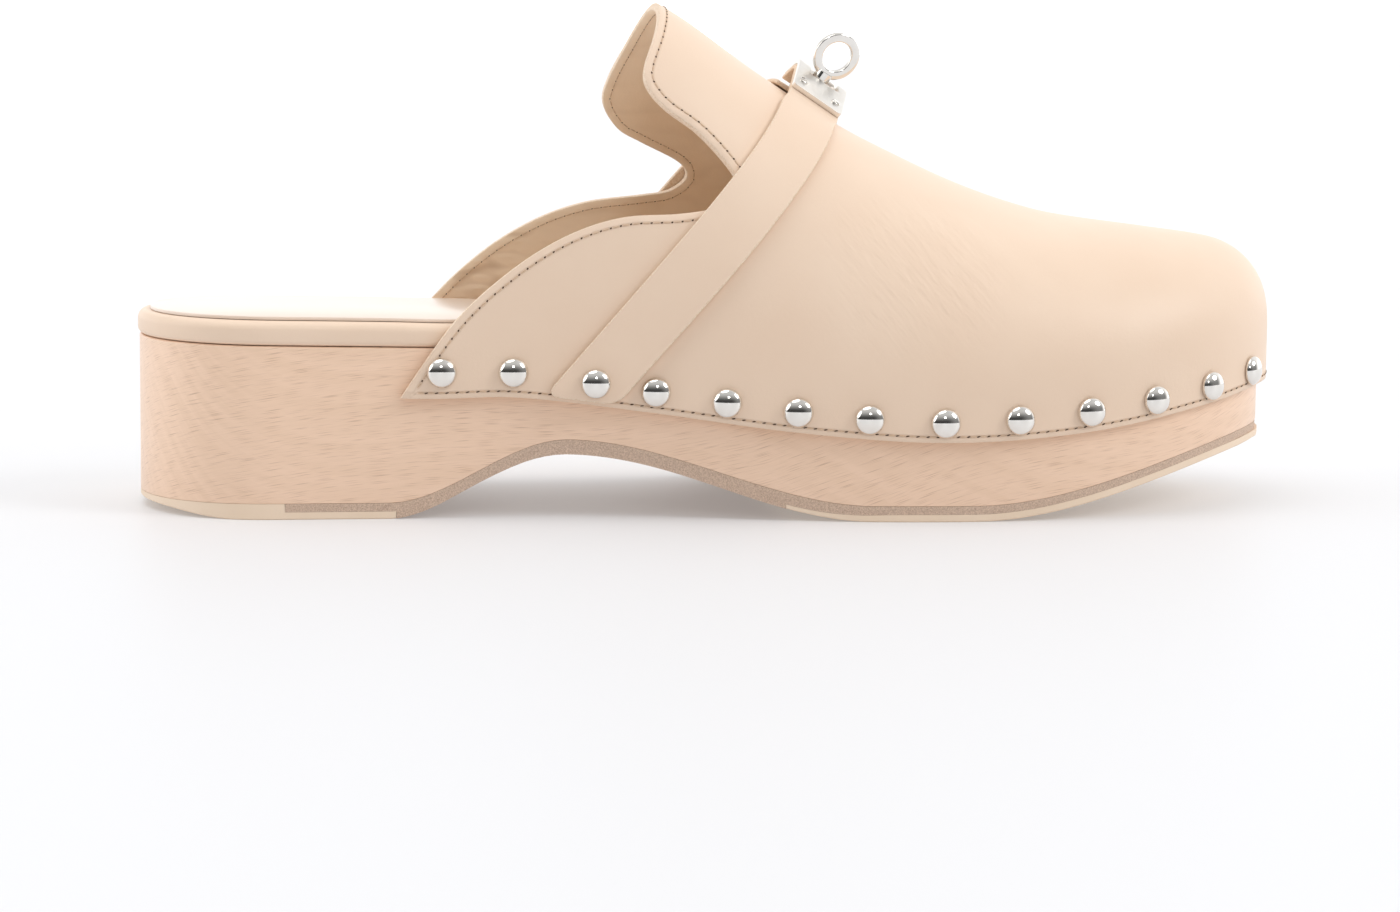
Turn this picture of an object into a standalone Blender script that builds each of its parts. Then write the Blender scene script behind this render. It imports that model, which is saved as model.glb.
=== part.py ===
"""Wooden-soled leather mule, a right shoe of about EU 38, standing empty on its sole.

+X runs to the toe, +Y to the medial side and +Z up. The origin is on the floor under the middle of the shoe.
All sizes are in millimetres and become metres when a mesh is made.
"""

import math

import bmesh
import bpy
from mathutils import Matrix, Vector

MM = 0.001
GAP = 0.3
LATERAL, MEDIAL = -1, 1

# Plan outline of the carved sole
HEEL_BACK = -127.5
HEEL_SIDE = -98.5
HEEL_HALF_WIDTH = 31.5
HEEL_SQUARENESS = 2.15
TOE_SIDE = 50.0
TOE_TIP = 125.6
TOE_TIP_Y = 3.0
TOE_SQUARENESS = 2.1
# x, half width on the lateral side, half width on the medial side
OUTLINE = (
    (-98.5, 31.5, 31.5),
    (-60.0, 32.2, 30.2),
    (-25.0, 35.0, 31.0),
    (5.0, 40.8, 38.4),
    (30.0, 45.2, 44.6),
    (50.0, 46.4, 46.2),
)

# Underside: heel flat, arch, forefoot flat and toe spring
ARCH_BACK = -75.0
ARCH_TOP = -37.0
ARCH_FRONT = 28.0
ARCH_HEIGHT = 13.6
TOE_SPRING_START = 50.0
TOE_SPRING_LENGTH = 80.0
TOE_SPRING = 14.6

# Rubber sheets under the wood
SOLE_THICKNESS = 3.4
INLAY_THICKNESS = 1.6
LIFT_FULL_FRONT = -97.2
LIFT_FRONT = -73.5
FOREFOOT_BACK = 9.5
HEEL_BEVEL = 2.0
HEEL_BEVEL_LENGTH = 20.0
TOE_LIP = 0.4

# Row of nails that holds the upper to the wood: x, z, depth of the upper's hem below the nails
NAIL_LINE = (
    (-120.0, 32.3, 5.5),
    (-66.0, 31.6, 5.5),
    (-48.0, 31.6, 5.2),
    (-18.0, 27.6, 4.5),
    (12.0, 23.7, 4.3),
    (44.0, 21.6, 4.1),
    (76.0, 23.8, 4.3),
    (107.0, 28.4, 3.9),
    (120.0, 31.0, 4.2),
    (127.0, 32.0, 4.6),
)
WOOD_ABOVE_NAILS = 5.1
WOOD_EDGE = 0.8

# Wrapped insole board and its sock
BOARD_HEEL_THICKNESS = 5.0
BOARD_FRONT_THICKNESS = 3.6
BOARD_THINS_FROM = -80.0
BOARD_THINS_TO = -10.0
BOARD_PROUD_AT_HEEL = 0.35
BOARD_INSET_IN_FRONT = 1.9
BOARD_FADE_BACK = -66.0
BOARD_FADE_FRONT = -42.0
SOCK_THICKNESS = 0.7
SOCK_INSET = 2.7

# Leather upper
WALL = 1.8
UPPER_BACK = -80.0
FAN_START = 30.0
FAN_RIDGE_END = 112.0
FAN_TIP_SPACING = 0.3
UPPER_ROWS = 14
# x, height of the ridge, fullness of the lateral side, fullness of the medial side, sideways place of the ridge
RIDGE = (
    (-80.0, 126.0, 2.30, 2.30, 2.0),
    (-40.0, 121.0, 2.30, 2.30, 3.0),
    (-13.0, 110.1, 2.25, 2.35, 4.0),
    (10.0, 94.7, 2.10, 2.45, 6.0),
    (28.0, 83.6, 2.10, 2.50, 6.0),
    (42.0, 76.6, 2.15, 2.50, 6.0),
    (54.0, 71.2, 2.20, 2.45, 5.5),
    (66.0, 66.9, 2.25, 2.45, 5.0),
    (78.0, 63.8, 2.35, 2.50, 4.5),
    (100.0, 60.8, 2.70, 2.70, 3.5),
    (112.0, 59.2, 3.00, 3.00, 3.0),
    (128.0, 56.0, 3.00, 3.00, 3.0),
)

# Cut of the collar, the notches and the tongue: lateral x, lateral z, medial x, medial z
COLLAR = (
    (-75.0, 22.5, -75.0, 22.5),
    (-62.0, 41.3, -62.0, 41.0),
    (-50.0, 52.7, -50.0, 52.6),
    (-38.0, 60.4, -38.0, 60.2),
    (-26.0, 64.6, -26.0, 64.5),
    (-13.0, 65.6, -13.0, 66.1),
    (-5.0, 67.2, -6.0, 67.2),
    (-0.6, 71.0, -1.8, 70.5),
    (-1.6, 75.0, -3.8, 74.2),
    (-8.0, 82.5, -13.0, 78.8),
    (-15.6, 88.4, -18.7, 82.0),
    (-19.2, 93.5, -22.3, 87.5),
    (-19.4, 98.0, -21.4, 93.0),
    (-16.8, 104.5, -17.5, 101.5),
    (-13.0, 112.0, -13.0, 112.0),
)
COLLAR_SMOOTHING = 3

# Instep straps, in a plane that leans forward over the ridge
STRAP_HALF_WIDTH = 6.0
STRAP_TAB_HALF_WIDTH = 7.5
STRAP_LEAN = 49.0
STRAP_GAP = 0.4
OVER_THICKNESS = 1.3
UNDER_THICKNESS = 1.1
STRAP_END = -0.9
OVER_LEAVES_AT = 66.0
UNDER_PAST_RIDGE = 5.0
STRAP_ROWS = 15

# Turn lock: the middle of the outer strap's underside at the lock, and how the lock leans with the ridge
LOCK_X = 23.4
LOCK_Y = 3.7
LOCK_Z = 92.35
LOCK_PITCH = 33.5
LOCK_ROLL = 29.0
BASE_LENGTH = 13.0
BASE_WIDTH = 9.0
BASE_THICKNESS = 0.6
BASE_X = 22.4
BASE_PAST_RIDGE = 2.6
PLATE_LENGTH = 12.8
PLATE_NEAR = 11.4
PLATE_FAR = 8.6
PLATE_THICKNESS = 1.1
PLATE_CORNER = 0.9
FOLD_FROM = -0.6
FOLD_RADIUS = 4.0
FOLD_ANGLE = 57.0
FOLD_STEPS = 4
SLOT_LENGTH = 10.6
SLOT_WIDTH = 6.2
SLOT_A = 0.5
POST_RADIUS = 2.0
POST_A = -0.25
POST_LEAN = 18.5
POST_BELOW = 1.5
NECK_LENGTH = 4.8
NECK_THICKNESS = 1.5
RING_OUTER = 5.5
RING_INNER = 3.45
RING_THICKNESS = 1.4
RING_RISE = 5.25
RING_TURN = 20.0
SCREW_RADIUS = 1.0
SCREW_HEIGHT = 0.5
SCREW_A = 4.3
SCREW_NEAR = 8.1
SCREW_FAR = 6.8

# Domed studs
STUDS_PER_SIDE = 13
FIRST_STUD_X = -63.9
STUD_PITCH_BACK = 15.2
STUD_PITCH_FRONT = 16.3
STUDS_AT_BACK_PITCH = 6
STRAP_STUD = 3
STUD_RADIUS = 3.25
STUD_HEIGHT = 2.2
STUD_FLANGE = 0.4
STUD_SEGMENTS = 12
STUD_RINGS = 3


def smoothstep(u):
    u = min(max(u, 0.0), 1.0)
    return u * u * (3.0 - 2.0 * u)


def blend(a, b, u):
    return a + (b - a) * u


def curve(rows, column, x, end_slope=None):
    """A smooth line through one column of a table whose first column is x, straight beyond its ends."""
    last = len(rows) - 1

    def slope(k):
        if end_slope is not None and k in (0, last):
            return end_slope
        a = rows[max(k - 1, 0)]
        b = rows[min(k + 1, last)]
        return (b[column] - a[column]) / (b[0] - a[0])

    if x <= rows[0][0]:
        return rows[0][column] + slope(0) * (x - rows[0][0])
    if x >= rows[last][0]:
        return rows[last][column] + slope(last) * (x - rows[last][0])
    k = max(i for i in range(last) if rows[i][0] <= x)
    span = rows[k + 1][0] - rows[k][0]
    u = (x - rows[k][0]) / span
    bend = (u**3 - 2 * u**2 + u) * slope(k) + (u**3 - u**2) * slope(k + 1)
    return blend(rows[k][column], rows[k + 1][column], smoothstep(u)) + span * bend


def round_pair(angle, squareness):
    """The two legs of a rounded corner, 1 and 0 at angle 0, 0 and 1 at a right angle."""
    power = 2.0 / squareness
    return max(math.cos(angle), 0.0) ** power, max(math.sin(angle), 0.0) ** power


def outline(side, s):
    """The sole's plan outline: s is 0 at the heel back, 1 and 2 at the ends of the sides, and 3 at the toe tip."""
    column = 1 if side == LATERAL else 2
    if s < 1.0:
        back, out = round_pair(s * math.pi / 2, HEEL_SQUARENESS)
        return Vector((HEEL_SIDE + (HEEL_BACK - HEEL_SIDE) * back, side * HEEL_HALF_WIDTH * out))
    if s <= 2.0:
        x = blend(HEEL_SIDE, TOE_SIDE, s - 1.0)
        return Vector((x, side * curve(OUTLINE, column, x, 0.0)))
    out, front = round_pair((s - 2.0) * math.pi / 2, TOE_SQUARENESS)
    half = side * OUTLINE[-1][column] - TOE_TIP_Y
    return Vector((TOE_SIDE + (TOE_TIP - TOE_SIDE) * front, TOE_TIP_Y + half * out))


def station(x):
    """The outline's s at a place along its sides."""
    return 1.0 + (x - HEEL_SIDE) / (TOE_SIDE - HEEL_SIDE)


def plan_normal(side, s):
    step = 0.001
    run = outline(side, min(s + step, 3.0)) - outline(side, max(s - step, 0.0))
    run.normalize()
    return Vector((-run.y, run.x)) * side


def plan(side, s, out):
    """A point of the outline moved outwards in plan."""
    return outline(side, s) + plan_normal(side, s) * out


def ground(x):
    """The underside of the whole shoe: flat at heel and forefoot, an arch between them, and toe spring."""
    rise = smoothstep((x - ARCH_BACK) / (ARCH_TOP - ARCH_BACK))
    fall = smoothstep((x - ARCH_TOP) / (ARCH_FRONT - ARCH_TOP))
    spring = smoothstep((x - TOE_SPRING_START) / TOE_SPRING_LENGTH)
    return ARCH_HEIGHT * (rise - fall) + TOE_SPRING * spring


def nail_line(x):
    return curve(NAIL_LINE, 1, x)


def wood_top(x):
    return nail_line(x) + WOOD_ABOVE_NAILS


def board_top(x):
    front = smoothstep((x - BOARD_THINS_FROM) / (BOARD_THINS_TO - BOARD_THINS_FROM))
    return wood_top(x) + GAP + blend(BOARD_HEEL_THICKNESS, BOARD_FRONT_THICKNESS, front)


def board_out(x):
    """How far the wrapped board stands out from the wood: proud at the heel, set in under the upper."""
    front = smoothstep((x - BOARD_FADE_BACK) / (BOARD_FADE_FRONT - BOARD_FADE_BACK))
    return blend(BOARD_PROUD_AT_HEEL, -BOARD_INSET_IN_FRONT, front)


HEEL_STEPS = 8
TOE_STEPS = 10
SIDE_X = (-84.0, -67.0, -61.0, -55.0, -48.0, -40.0, -32.0, -24.0, -16.0, -8.0, 0.0, 18.0, 29.0, 40.0)
STEP_X = (LIFT_FULL_FRONT, LIFT_FULL_FRONT + 0.1, LIFT_FULL_FRONT + 0.6) + (
    LIFT_FRONT,
    LIFT_FRONT + 0.4,
    LIFT_FRONT + 0.5,
    FOREFOOT_BACK - 0.5,
    FOREFOOT_BACK - 0.4,
    FOREFOOT_BACK,
)
RUNNER_BACK = LIFT_FULL_FRONT + 0.6
STATIONS = (
    [k / HEEL_STEPS for k in range(HEEL_STEPS + 1)]
    + sorted(station(x) for x in SIDE_X + STEP_X)
    + [2.0 + k / TOE_STEPS for k in range(TOE_STEPS + 1)]
)


def finish(bm, name, material):
    """Turns a bmesh in millimetres into a linked object with its material, faces outwards."""
    bmesh.ops.recalc_face_normals(bm, faces=bm.faces)
    bmesh.ops.scale(bm, vec=(MM, MM, MM), verts=bm.verts)
    mesh = bpy.data.meshes.new(name)
    bm.to_mesh(mesh)
    bm.free()
    mesh.shade_smooth()
    mesh.set_sharp_from_angle(angle=math.radians(40))
    mesh.materials.append(material)
    thing = bpy.data.objects.new(name, mesh)
    bpy.context.scene.collection.objects.link(thing)
    return thing


def material(name, colour, roughness, metallic=0.0):
    made = bpy.data.materials.new(name)
    made.use_nodes = True
    shader = made.node_tree.nodes["Principled BSDF"]
    linear = [(c / 255.0) ** 2.2 for c in colour]
    shader.inputs["Base Color"].default_value = (*linear, 1.0)
    shader.inputs["Roughness"].default_value = roughness
    shader.inputs["Metallic"].default_value = metallic
    return made


def slab(name, stations, rings, made_of):
    """A closed slab in the sole's outline; its rings run from the underside to the top, each an offset and a height."""
    bm = bmesh.new()
    loops = []
    caps = []
    for out, height in rings:
        pairs = []
        for s in stations:
            pair = []
            for side in (LATERAL, MEDIAL):
                at = plan(side, s, out(s))
                if side == MEDIAL and s in (0.0, 3.0):
                    pair.append(pair[0])
                else:
                    pair.append(bm.verts.new((at.x, at.y, height(at.x))))
            pairs.append(pair)
        medial = [pair[1] for pair in reversed(pairs) if pair[1] is not pair[0]]
        loops.append([pair[0] for pair in pairs] + medial)
        caps.append(pairs)
    for lower, upper in zip(loops, loops[1:]):
        for k in range(len(lower)):
            bm.faces.new((lower[k - 1], lower[k], upper[k], upper[k - 1]))
    for pairs in (caps[0], caps[-1]):
        for (a, b), (c, d) in zip(pairs, pairs[1:]):
            corners = [a, c] + ([d] if d is not c else []) + ([b] if b is not a else [])
            bm.faces.new(corners)
    return finish(bm, name, made_of)


def flush(s):
    return 0.0


def inset_by(amount):
    return lambda s: -amount


def raised(height, amount):
    return lambda x: height(x) + amount


def make_sole():
    """Wooden block, rubber runner, heel lift and forefoot outsole."""
    wood_under = raised(ground, SOLE_THICKNESS + GAP)
    slab(
        "wood_sole",
        STATIONS,
        (
            (inset_by(WOOD_EDGE), wood_under),
            (flush, raised(wood_under, WOOD_EDGE)),
            (flush, raised(wood_top, -WOOD_EDGE)),
            (inset_by(WOOD_EDGE), wood_top),
        ),
        BEECH,
    )

    def runner_under(x):
        let_in = x < LIFT_FRONT + 0.45 or x > FOREFOOT_BACK - 0.45
        return ground(x) + (INLAY_THICKNESS + GAP if let_in else 0.0)

    slab(
        "runner",
        [s for s in STATIONS if s > station(RUNNER_BACK) - 1e-6],
        ((flush, runner_under), (flush, raised(ground, SOLE_THICKNESS))),
        TAUPE_RUBBER,
    )

    def lift_under(x):
        return HEEL_BEVEL * (1.0 - smoothstep((x - HEEL_BACK) / HEEL_BEVEL_LENGTH)) + ground(x)

    def lift_top(x):
        full = x < LIFT_FULL_FRONT + 0.05
        return ground(x) + (SOLE_THICKNESS if full else INLAY_THICKNESS)

    slab(
        "heel_lift",
        [s for s in STATIONS if s < station(LIFT_FRONT) + 1e-6],
        ((flush, lift_under), (flush, lift_top)),
        BEIGE_RUBBER,
    )

    def lip(s):
        return TOE_LIP * smoothstep((s - 2.5) / 0.4)

    slab(
        "forefoot_outsole",
        [s for s in STATIONS if s > station(FOREFOOT_BACK) - 1e-6],
        ((lip, ground), (lip, raised(ground, INLAY_THICKNESS))),
        BEIGE_RUBBER,
    )


def make_footbed():
    """Leather-wrapped board with a rounded rim, and the thin sock on it."""

    def out(s, inset):
        return board_out(outline(LATERAL, s).x) - inset

    low = raised(wood_top, GAP)
    slab(
        "footbed",
        STATIONS,
        (
            (lambda s: out(s, 1.5), low),
            (lambda s: out(s, 0.4), raised(low, 0.5)),
            (lambda s: out(s, 0.0), raised(low, 1.6)),
            (lambda s: out(s, 0.0), raised(board_top, -2.2)),
            (lambda s: out(s, 0.6), raised(board_top, -0.7)),
            (lambda s: out(s, 1.9), board_top),
        ),
        RIM_LEATHER,
    )
    sock_low = raised(board_top, GAP)
    slab(
        "insole_sock",
        STATIONS,
        (
            (lambda s: out(s, SOCK_INSET), sock_low),
            (lambda s: out(s, SOCK_INSET), raised(sock_low, SOCK_THICKNESS - 0.3)),
            (lambda s: out(s, SOCK_INSET + 0.4), raised(sock_low, SOCK_THICKNESS)),
        ),
        SOCK_LEATHER,
    )


def fan(s):
    """Where on the ridge the rib from outline place s ends, as a share of the fanned stretch of the ridge."""
    start = station(FAN_START)
    u = (s - start) / (3.0 - start)
    entry = (TOE_SIDE - HEEL_SIDE) * (3.0 - start) / (FAN_RIDGE_END - FAN_START)
    return smoothstep(u) + entry * (u**3 - 2 * u**2 + u) + FAN_TIP_SPACING * (u**3 - u**2)


def upper_face(side, s, angle):
    """A point of the upper's outer face: -1 is the lower edge, 0 the top of the wood, and a right angle the ridge."""
    foot = plan(side, s, GAP + WALL)
    ridge_x = foot.x
    if s > station(FAN_START):
        start = plan(side, station(FAN_START), GAP + WALL).x
        ridge_x = blend(start, FAN_RIDGE_END, fan(s))
    ridge = Vector((ridge_x, curve(RIDGE, 4, ridge_x)))
    fullness = curve(RIDGE, 2 if side == LATERAL else 3, ridge_x)
    out, up = round_pair(max(angle, 0.0), fullness)
    flat = ridge + (foot - ridge) * out
    shoulder = wood_top(foot.x)
    hem = nail_line(foot.x) - curve(NAIL_LINE, 2, foot.x)
    z = shoulder + min(angle, 0.0) * (shoulder - hem) + (curve(RIDGE, 1, flat.x) - shoulder) * up
    over_rim = max(board_out(foot.x), 0.0) * min((z - hem) / (shoulder - hem), 1.0)
    flat += plan_normal(side, s) * over_rim
    return Vector((flat.x, flat.y, z))


def upper_normal(side, s, angle):
    d_angle = 0.01
    d_s = 0.004
    up = upper_face(side, s, min(angle + d_angle, math.pi / 2)) - upper_face(side, s, max(angle - d_angle, -1.0))
    along = upper_face(side, min(s + d_s, 3.0), angle) - upper_face(side, s - d_s, angle)
    return (along.cross(up) * -side).normalized()


def smooth_loop(points, steps):
    """A smooth line of points through a list of points."""
    line = []
    for k in range(len(points) - 1):
        a = points[max(k - 1, 0)]
        b, c = points[k], points[k + 1]
        d = points[min(k + 2, len(points) - 1)]
        for i in range(steps):
            u = i / steps
            bend = (c - a) * 0.5 * (u**3 - 2 * u**2 + u) + (d - b) * 0.5 * (u**3 - u**2)
            line.append(b + (c - b) * smoothstep(u) + bend)
    return line + [points[-1]]


def make_collar_cutter():
    """A solid from side to side that takes away what is above the quarters and behind the tongue."""
    bm = bmesh.new()
    far_x, far_z, low_z = -115.0, 140.0, 5.0
    loops = []
    for y, column in ((-70.0, 0), (-30.0, 0), (30.0, 2), (70.0, 2)):
        edge = smooth_loop([Vector((row[column], row[column + 1])) for row in COLLAR], COLLAR_SMOOTHING)
        edge += [Vector((edge[-1].x, far_z)), Vector((far_x, far_z)), Vector((far_x, low_z))]
        edge.append(Vector((edge[0].x, low_z)))
        loops.append([bm.verts.new((p.x, y, p.y)) for p in edge])
    for near, far in zip(loops, loops[1:]):
        for k in range(len(near)):
            bm.faces.new((near[k - 1], near[k], far[k], far[k - 1]))
    bm.faces.new(loops[0])
    bm.faces.new(loops[-1])
    return as_cutter(finish(bm, "collar_cutter", UPPER_LEATHER))


def cut(thing, cutter):
    boolean = thing.modifiers.new("cut_" + cutter.name, "BOOLEAN")
    boolean.operation = "DIFFERENCE"
    boolean.solver = "EXACT"
    boolean.object = cutter


def thicken(thing, thickness, offset):
    solid = thing.modifiers.new("leather_thickness", "SOLIDIFY")
    solid.thickness = thickness * MM
    solid.offset = offset
    solid.use_even_offset = True


def facing_out(bm, face, out):
    """Turns a sheet over if the given face does not look outwards."""
    bm.normal_update()
    bmesh.ops.recalc_face_normals(bm, faces=bm.faces)
    bm.normal_update()
    if face.normal.dot(out) < 0.0:
        bmesh.ops.reverse_faces(bm, faces=bm.faces)


def sheet_object(bm, name, made_of, out):
    """Like finish, for an open sheet: its first face looks along out."""
    bm.faces.ensure_lookup_table()
    facing_out(bm, bm.faces[0], out)
    bmesh.ops.scale(bm, vec=(MM, MM, MM), verts=bm.verts)
    mesh = bpy.data.meshes.new(name)
    bm.to_mesh(mesh)
    bm.free()
    mesh.shade_smooth()
    mesh.materials.append(made_of)
    thing = bpy.data.objects.new(name, mesh)
    bpy.context.scene.collection.objects.link(thing)
    return thing


def make_upper():
    """Vamp, quarters and tongue: one leather face on ribs from the lower edge to the ridge, then cut at the collar."""
    bm = bmesh.new()
    ribs = [station(UPPER_BACK)]
    for s in STATIONS:
        if s - ribs[-1] > 1.5 / (TOE_SIDE - HEEL_SIDE):
            ribs.append(s)
    angles = [-1.0] + [math.pi / 2 * (k / (UPPER_ROWS - 1)) ** 1.3 for k in range(UPPER_ROWS)]
    grid = {}
    for side in (LATERAL, MEDIAL):
        for i, s in enumerate(ribs):
            for j, angle in enumerate(angles):
                shared = side == MEDIAL and (j == UPPER_ROWS or s == 3.0)
                if shared:
                    grid[side, i, j] = grid[LATERAL, i, j]
                else:
                    grid[side, i, j] = bm.verts.new(upper_face(side, s, angle))
    for side in (LATERAL, MEDIAL):
        for i in range(len(ribs) - 1):
            for j in range(UPPER_ROWS):
                corners = [grid[side, i, j], grid[side, i + 1, j], grid[side, i + 1, j + 1], grid[side, i, j + 1]]
                bm.faces.new(corners)
    thing = sheet_object(bm, "upper", UPPER_LEATHER, Vector((0, LATERAL, 0)))
    thicken(thing, WALL, -1.0)
    cut(thing, make_collar_cutter())
    return thing


def lock_axes():
    """Along the ridge, across it and out of it, at the lock."""
    pitch, roll = math.radians(LOCK_PITCH), math.radians(LOCK_ROLL)
    along = Vector((math.cos(pitch), 0.0, -math.sin(pitch)))
    up = Vector((math.sin(pitch), 0.0, math.cos(pitch)))
    across = Vector((0.0, 1.0, 0.0)) * math.cos(roll) + up * math.sin(roll)
    out = up * math.cos(roll) - Vector((0.0, 1.0, 0.0)) * math.sin(roll)
    return along, across, out


def fold_lines():
    """Places across the lock where its plate and the strap under it are bent over the ridge."""
    bent = FOLD_RADIUS * math.radians(FOLD_ANGLE)
    return [FOLD_FROM + bent * k / FOLD_STEPS for k in range(FOLD_STEPS + 1)]


def folded(b, c):
    """Where a point across and out of the lock goes when it is bent over the ridge, and how far it is turned."""
    bent = FOLD_RADIUS * math.radians(FOLD_ANGLE)
    turn = min(max(b - FOLD_FROM, 0.0), bent) / FOLD_RADIUS
    before, after = min(b, FOLD_FROM), max(b - FOLD_FROM - bent, 0.0)
    radius = FOLD_RADIUS + c
    across = before + radius * math.sin(turn) + after * math.cos(turn)
    out = radius * math.cos(turn) - FOLD_RADIUS - after * math.sin(turn)
    return across, out, turn


def on_strap(side, angle, offset):
    """The outline place s where the strap's plane, moved by offset, meets the rib at an angle."""
    lean = math.radians(STRAP_LEAN)
    normal = Vector((math.sin(lean), 0.0, -math.cos(lean)))
    low, high = station(-75.0), station(45.0)
    for _ in range(40):
        s = (low + high) / 2
        if (upper_face(side, s, angle) - SEAT).dot(normal) < offset:
            low = s
        else:
            high = s
    return (low + high) / 2


def strap_row(side, angle, half):
    """Five points across a strap where it lies on the upper."""
    row = []
    for share in STRAP_SHARES:
        s = on_strap(side, angle, share * half)
        row.append(upper_face(side, s, angle) + upper_normal(side, s, angle) * STRAP_GAP)
    return row


def strap_solid(name, rows, thickness, out):
    """A strap of even thickness on rows of points."""
    bm = bmesh.new()
    made = [[bm.verts.new(p) for p in row] for row in rows]
    for lower, upper in zip(made, made[1:]):
        for k in range(len(STRAP_SHARES) - 1):
            bm.faces.new((lower[k], lower[k + 1], upper[k + 1], upper[k]))
    thing = sheet_object(bm, name, UPPER_LEATHER, out)
    thicken(thing, thickness, 1.0)
    return thing


def make_strap_over():
    """Lateral strap: up the side of the upper, then straight and flat under the lock plate."""
    along, across, out = lock_axes()
    rows = [strap_row(LATERAL, STRAP_END, STRAP_HALF_WIDTH)]
    for k in range(STRAP_ROWS + 1):
        angle = math.radians(OVER_LEAVES_AT) * (k / STRAP_ROWS) ** 1.15
        rows.append(strap_row(LATERAL, angle, STRAP_HALF_WIDTH))
    for b in [-PLATE_NEAR - 0.6, -PLATE_NEAR / 2] + fold_lines() + [PLATE_FAR - 0.4]:
        folded_b, folded_c, _ = folded(b, 0.0)
        middle = SEAT + across * folded_b + out * folded_c
        rows.append([middle + along * share * STRAP_HALF_WIDTH for share in STRAP_SHARES])
    strap_solid("strap_over", rows, OVER_THICKNESS, Vector((0, LATERAL, 0)))


def make_strap_under():
    """Medial strap: up the side, over the ridge on the upper, and a little way down the lateral side."""
    rows = [strap_row(MEDIAL, STRAP_END, STRAP_HALF_WIDTH)]
    count = STRAP_ROWS + 4
    for k in range(count + 1):
        share = k / count
        half = blend(STRAP_HALF_WIDTH, STRAP_TAB_HALF_WIDTH, smoothstep((share - 0.7) / 0.2))
        rows.append(strap_row(MEDIAL, math.pi / 2 * share**1.15, half))
    rows.append(strap_row(LATERAL, math.radians(90.0 - UNDER_PAST_RIDGE), STRAP_TAB_HALF_WIDTH))
    strap_solid("strap_under", rows, UNDER_THICKNESS, Vector((0, MEDIAL, 0)))


def prism(outline_points, low, high):
    """A bmesh of a plan outline pulled up between two heights."""
    bm = bmesh.new()
    face = bm.faces.new([bm.verts.new((x, y, low)) for x, y in outline_points])
    pulled = bmesh.ops.extrude_face_region(bm, geom=[face])
    top = [v for v in pulled["geom"] if isinstance(v, bmesh.types.BMVert)]
    bmesh.ops.translate(bm, vec=(0.0, 0.0, high - low), verts=top)
    return bm


def rounded_plan(length, width, corner, steps):
    """Corner points of a rectangle with round corners."""
    points = []
    for turn in range(4):
        cx = (length / 2 - corner) * (1 if turn in (0, 3) else -1)
        cy = (width / 2 - corner) * (1 if turn in (0, 1) else -1)
        for k in range(steps + 1):
            angle = math.pi / 2 * (turn + k / steps)
            points.append((cx + corner * math.cos(angle), cy + corner * math.sin(angle)))
    return points


def ellipse_plan(length, width, steps):
    turns = [2 * math.pi * k / steps for k in range(steps)]
    return [(length / 2 * math.cos(t), width / 2 * math.sin(t)) for t in turns]


def lathe(profile, segments):
    """A bmesh turned about Z from a profile of radius and height, whose first and last points are on the axis."""
    bm = bmesh.new()
    verts = [bm.verts.new((r, 0.0, z)) for r, z in profile]
    edges = [bm.edges.new(pair) for pair in zip(verts, verts[1:])]
    bmesh.ops.spin(
        bm, geom=verts + edges, cent=(0, 0, 0), axis=(0, 0, 1), angle=2 * math.pi, steps=segments, use_merge=True
    )
    bmesh.ops.remove_doubles(bm, verts=bm.verts, dist=0.001)
    return bm


def dome_profile(radius, height, flange, rings):
    """Top of the dome, down its curve to the flange, and back to the axis underneath."""
    points = []
    for k in range(rings + 1):
        angle = math.pi / 2 * k / rings
        points.append((radius * math.sin(angle), flange + (height - flange) * math.cos(angle)))
    return points + [(radius, 0.0), (0.0, 0.0)]


def frame_object(name, along, across, out, at):
    """An empty whose X, Y and Z run along the ridge, across it and out of it."""
    frame = bpy.data.objects.new(name, None)
    place = at * MM
    frame.matrix_world = Matrix(
        (
            (along.x, across.x, out.x, place.x),
            (along.y, across.y, out.y, place.y),
            (along.z, across.z, out.z, place.z),
            (0.0, 0.0, 0.0, 1.0),
        )
    )
    bpy.context.scene.collection.objects.link(frame)
    return frame


def as_cutter(thing):
    thing.hide_render = True
    thing.display_type = "WIRE"
    return thing


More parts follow.
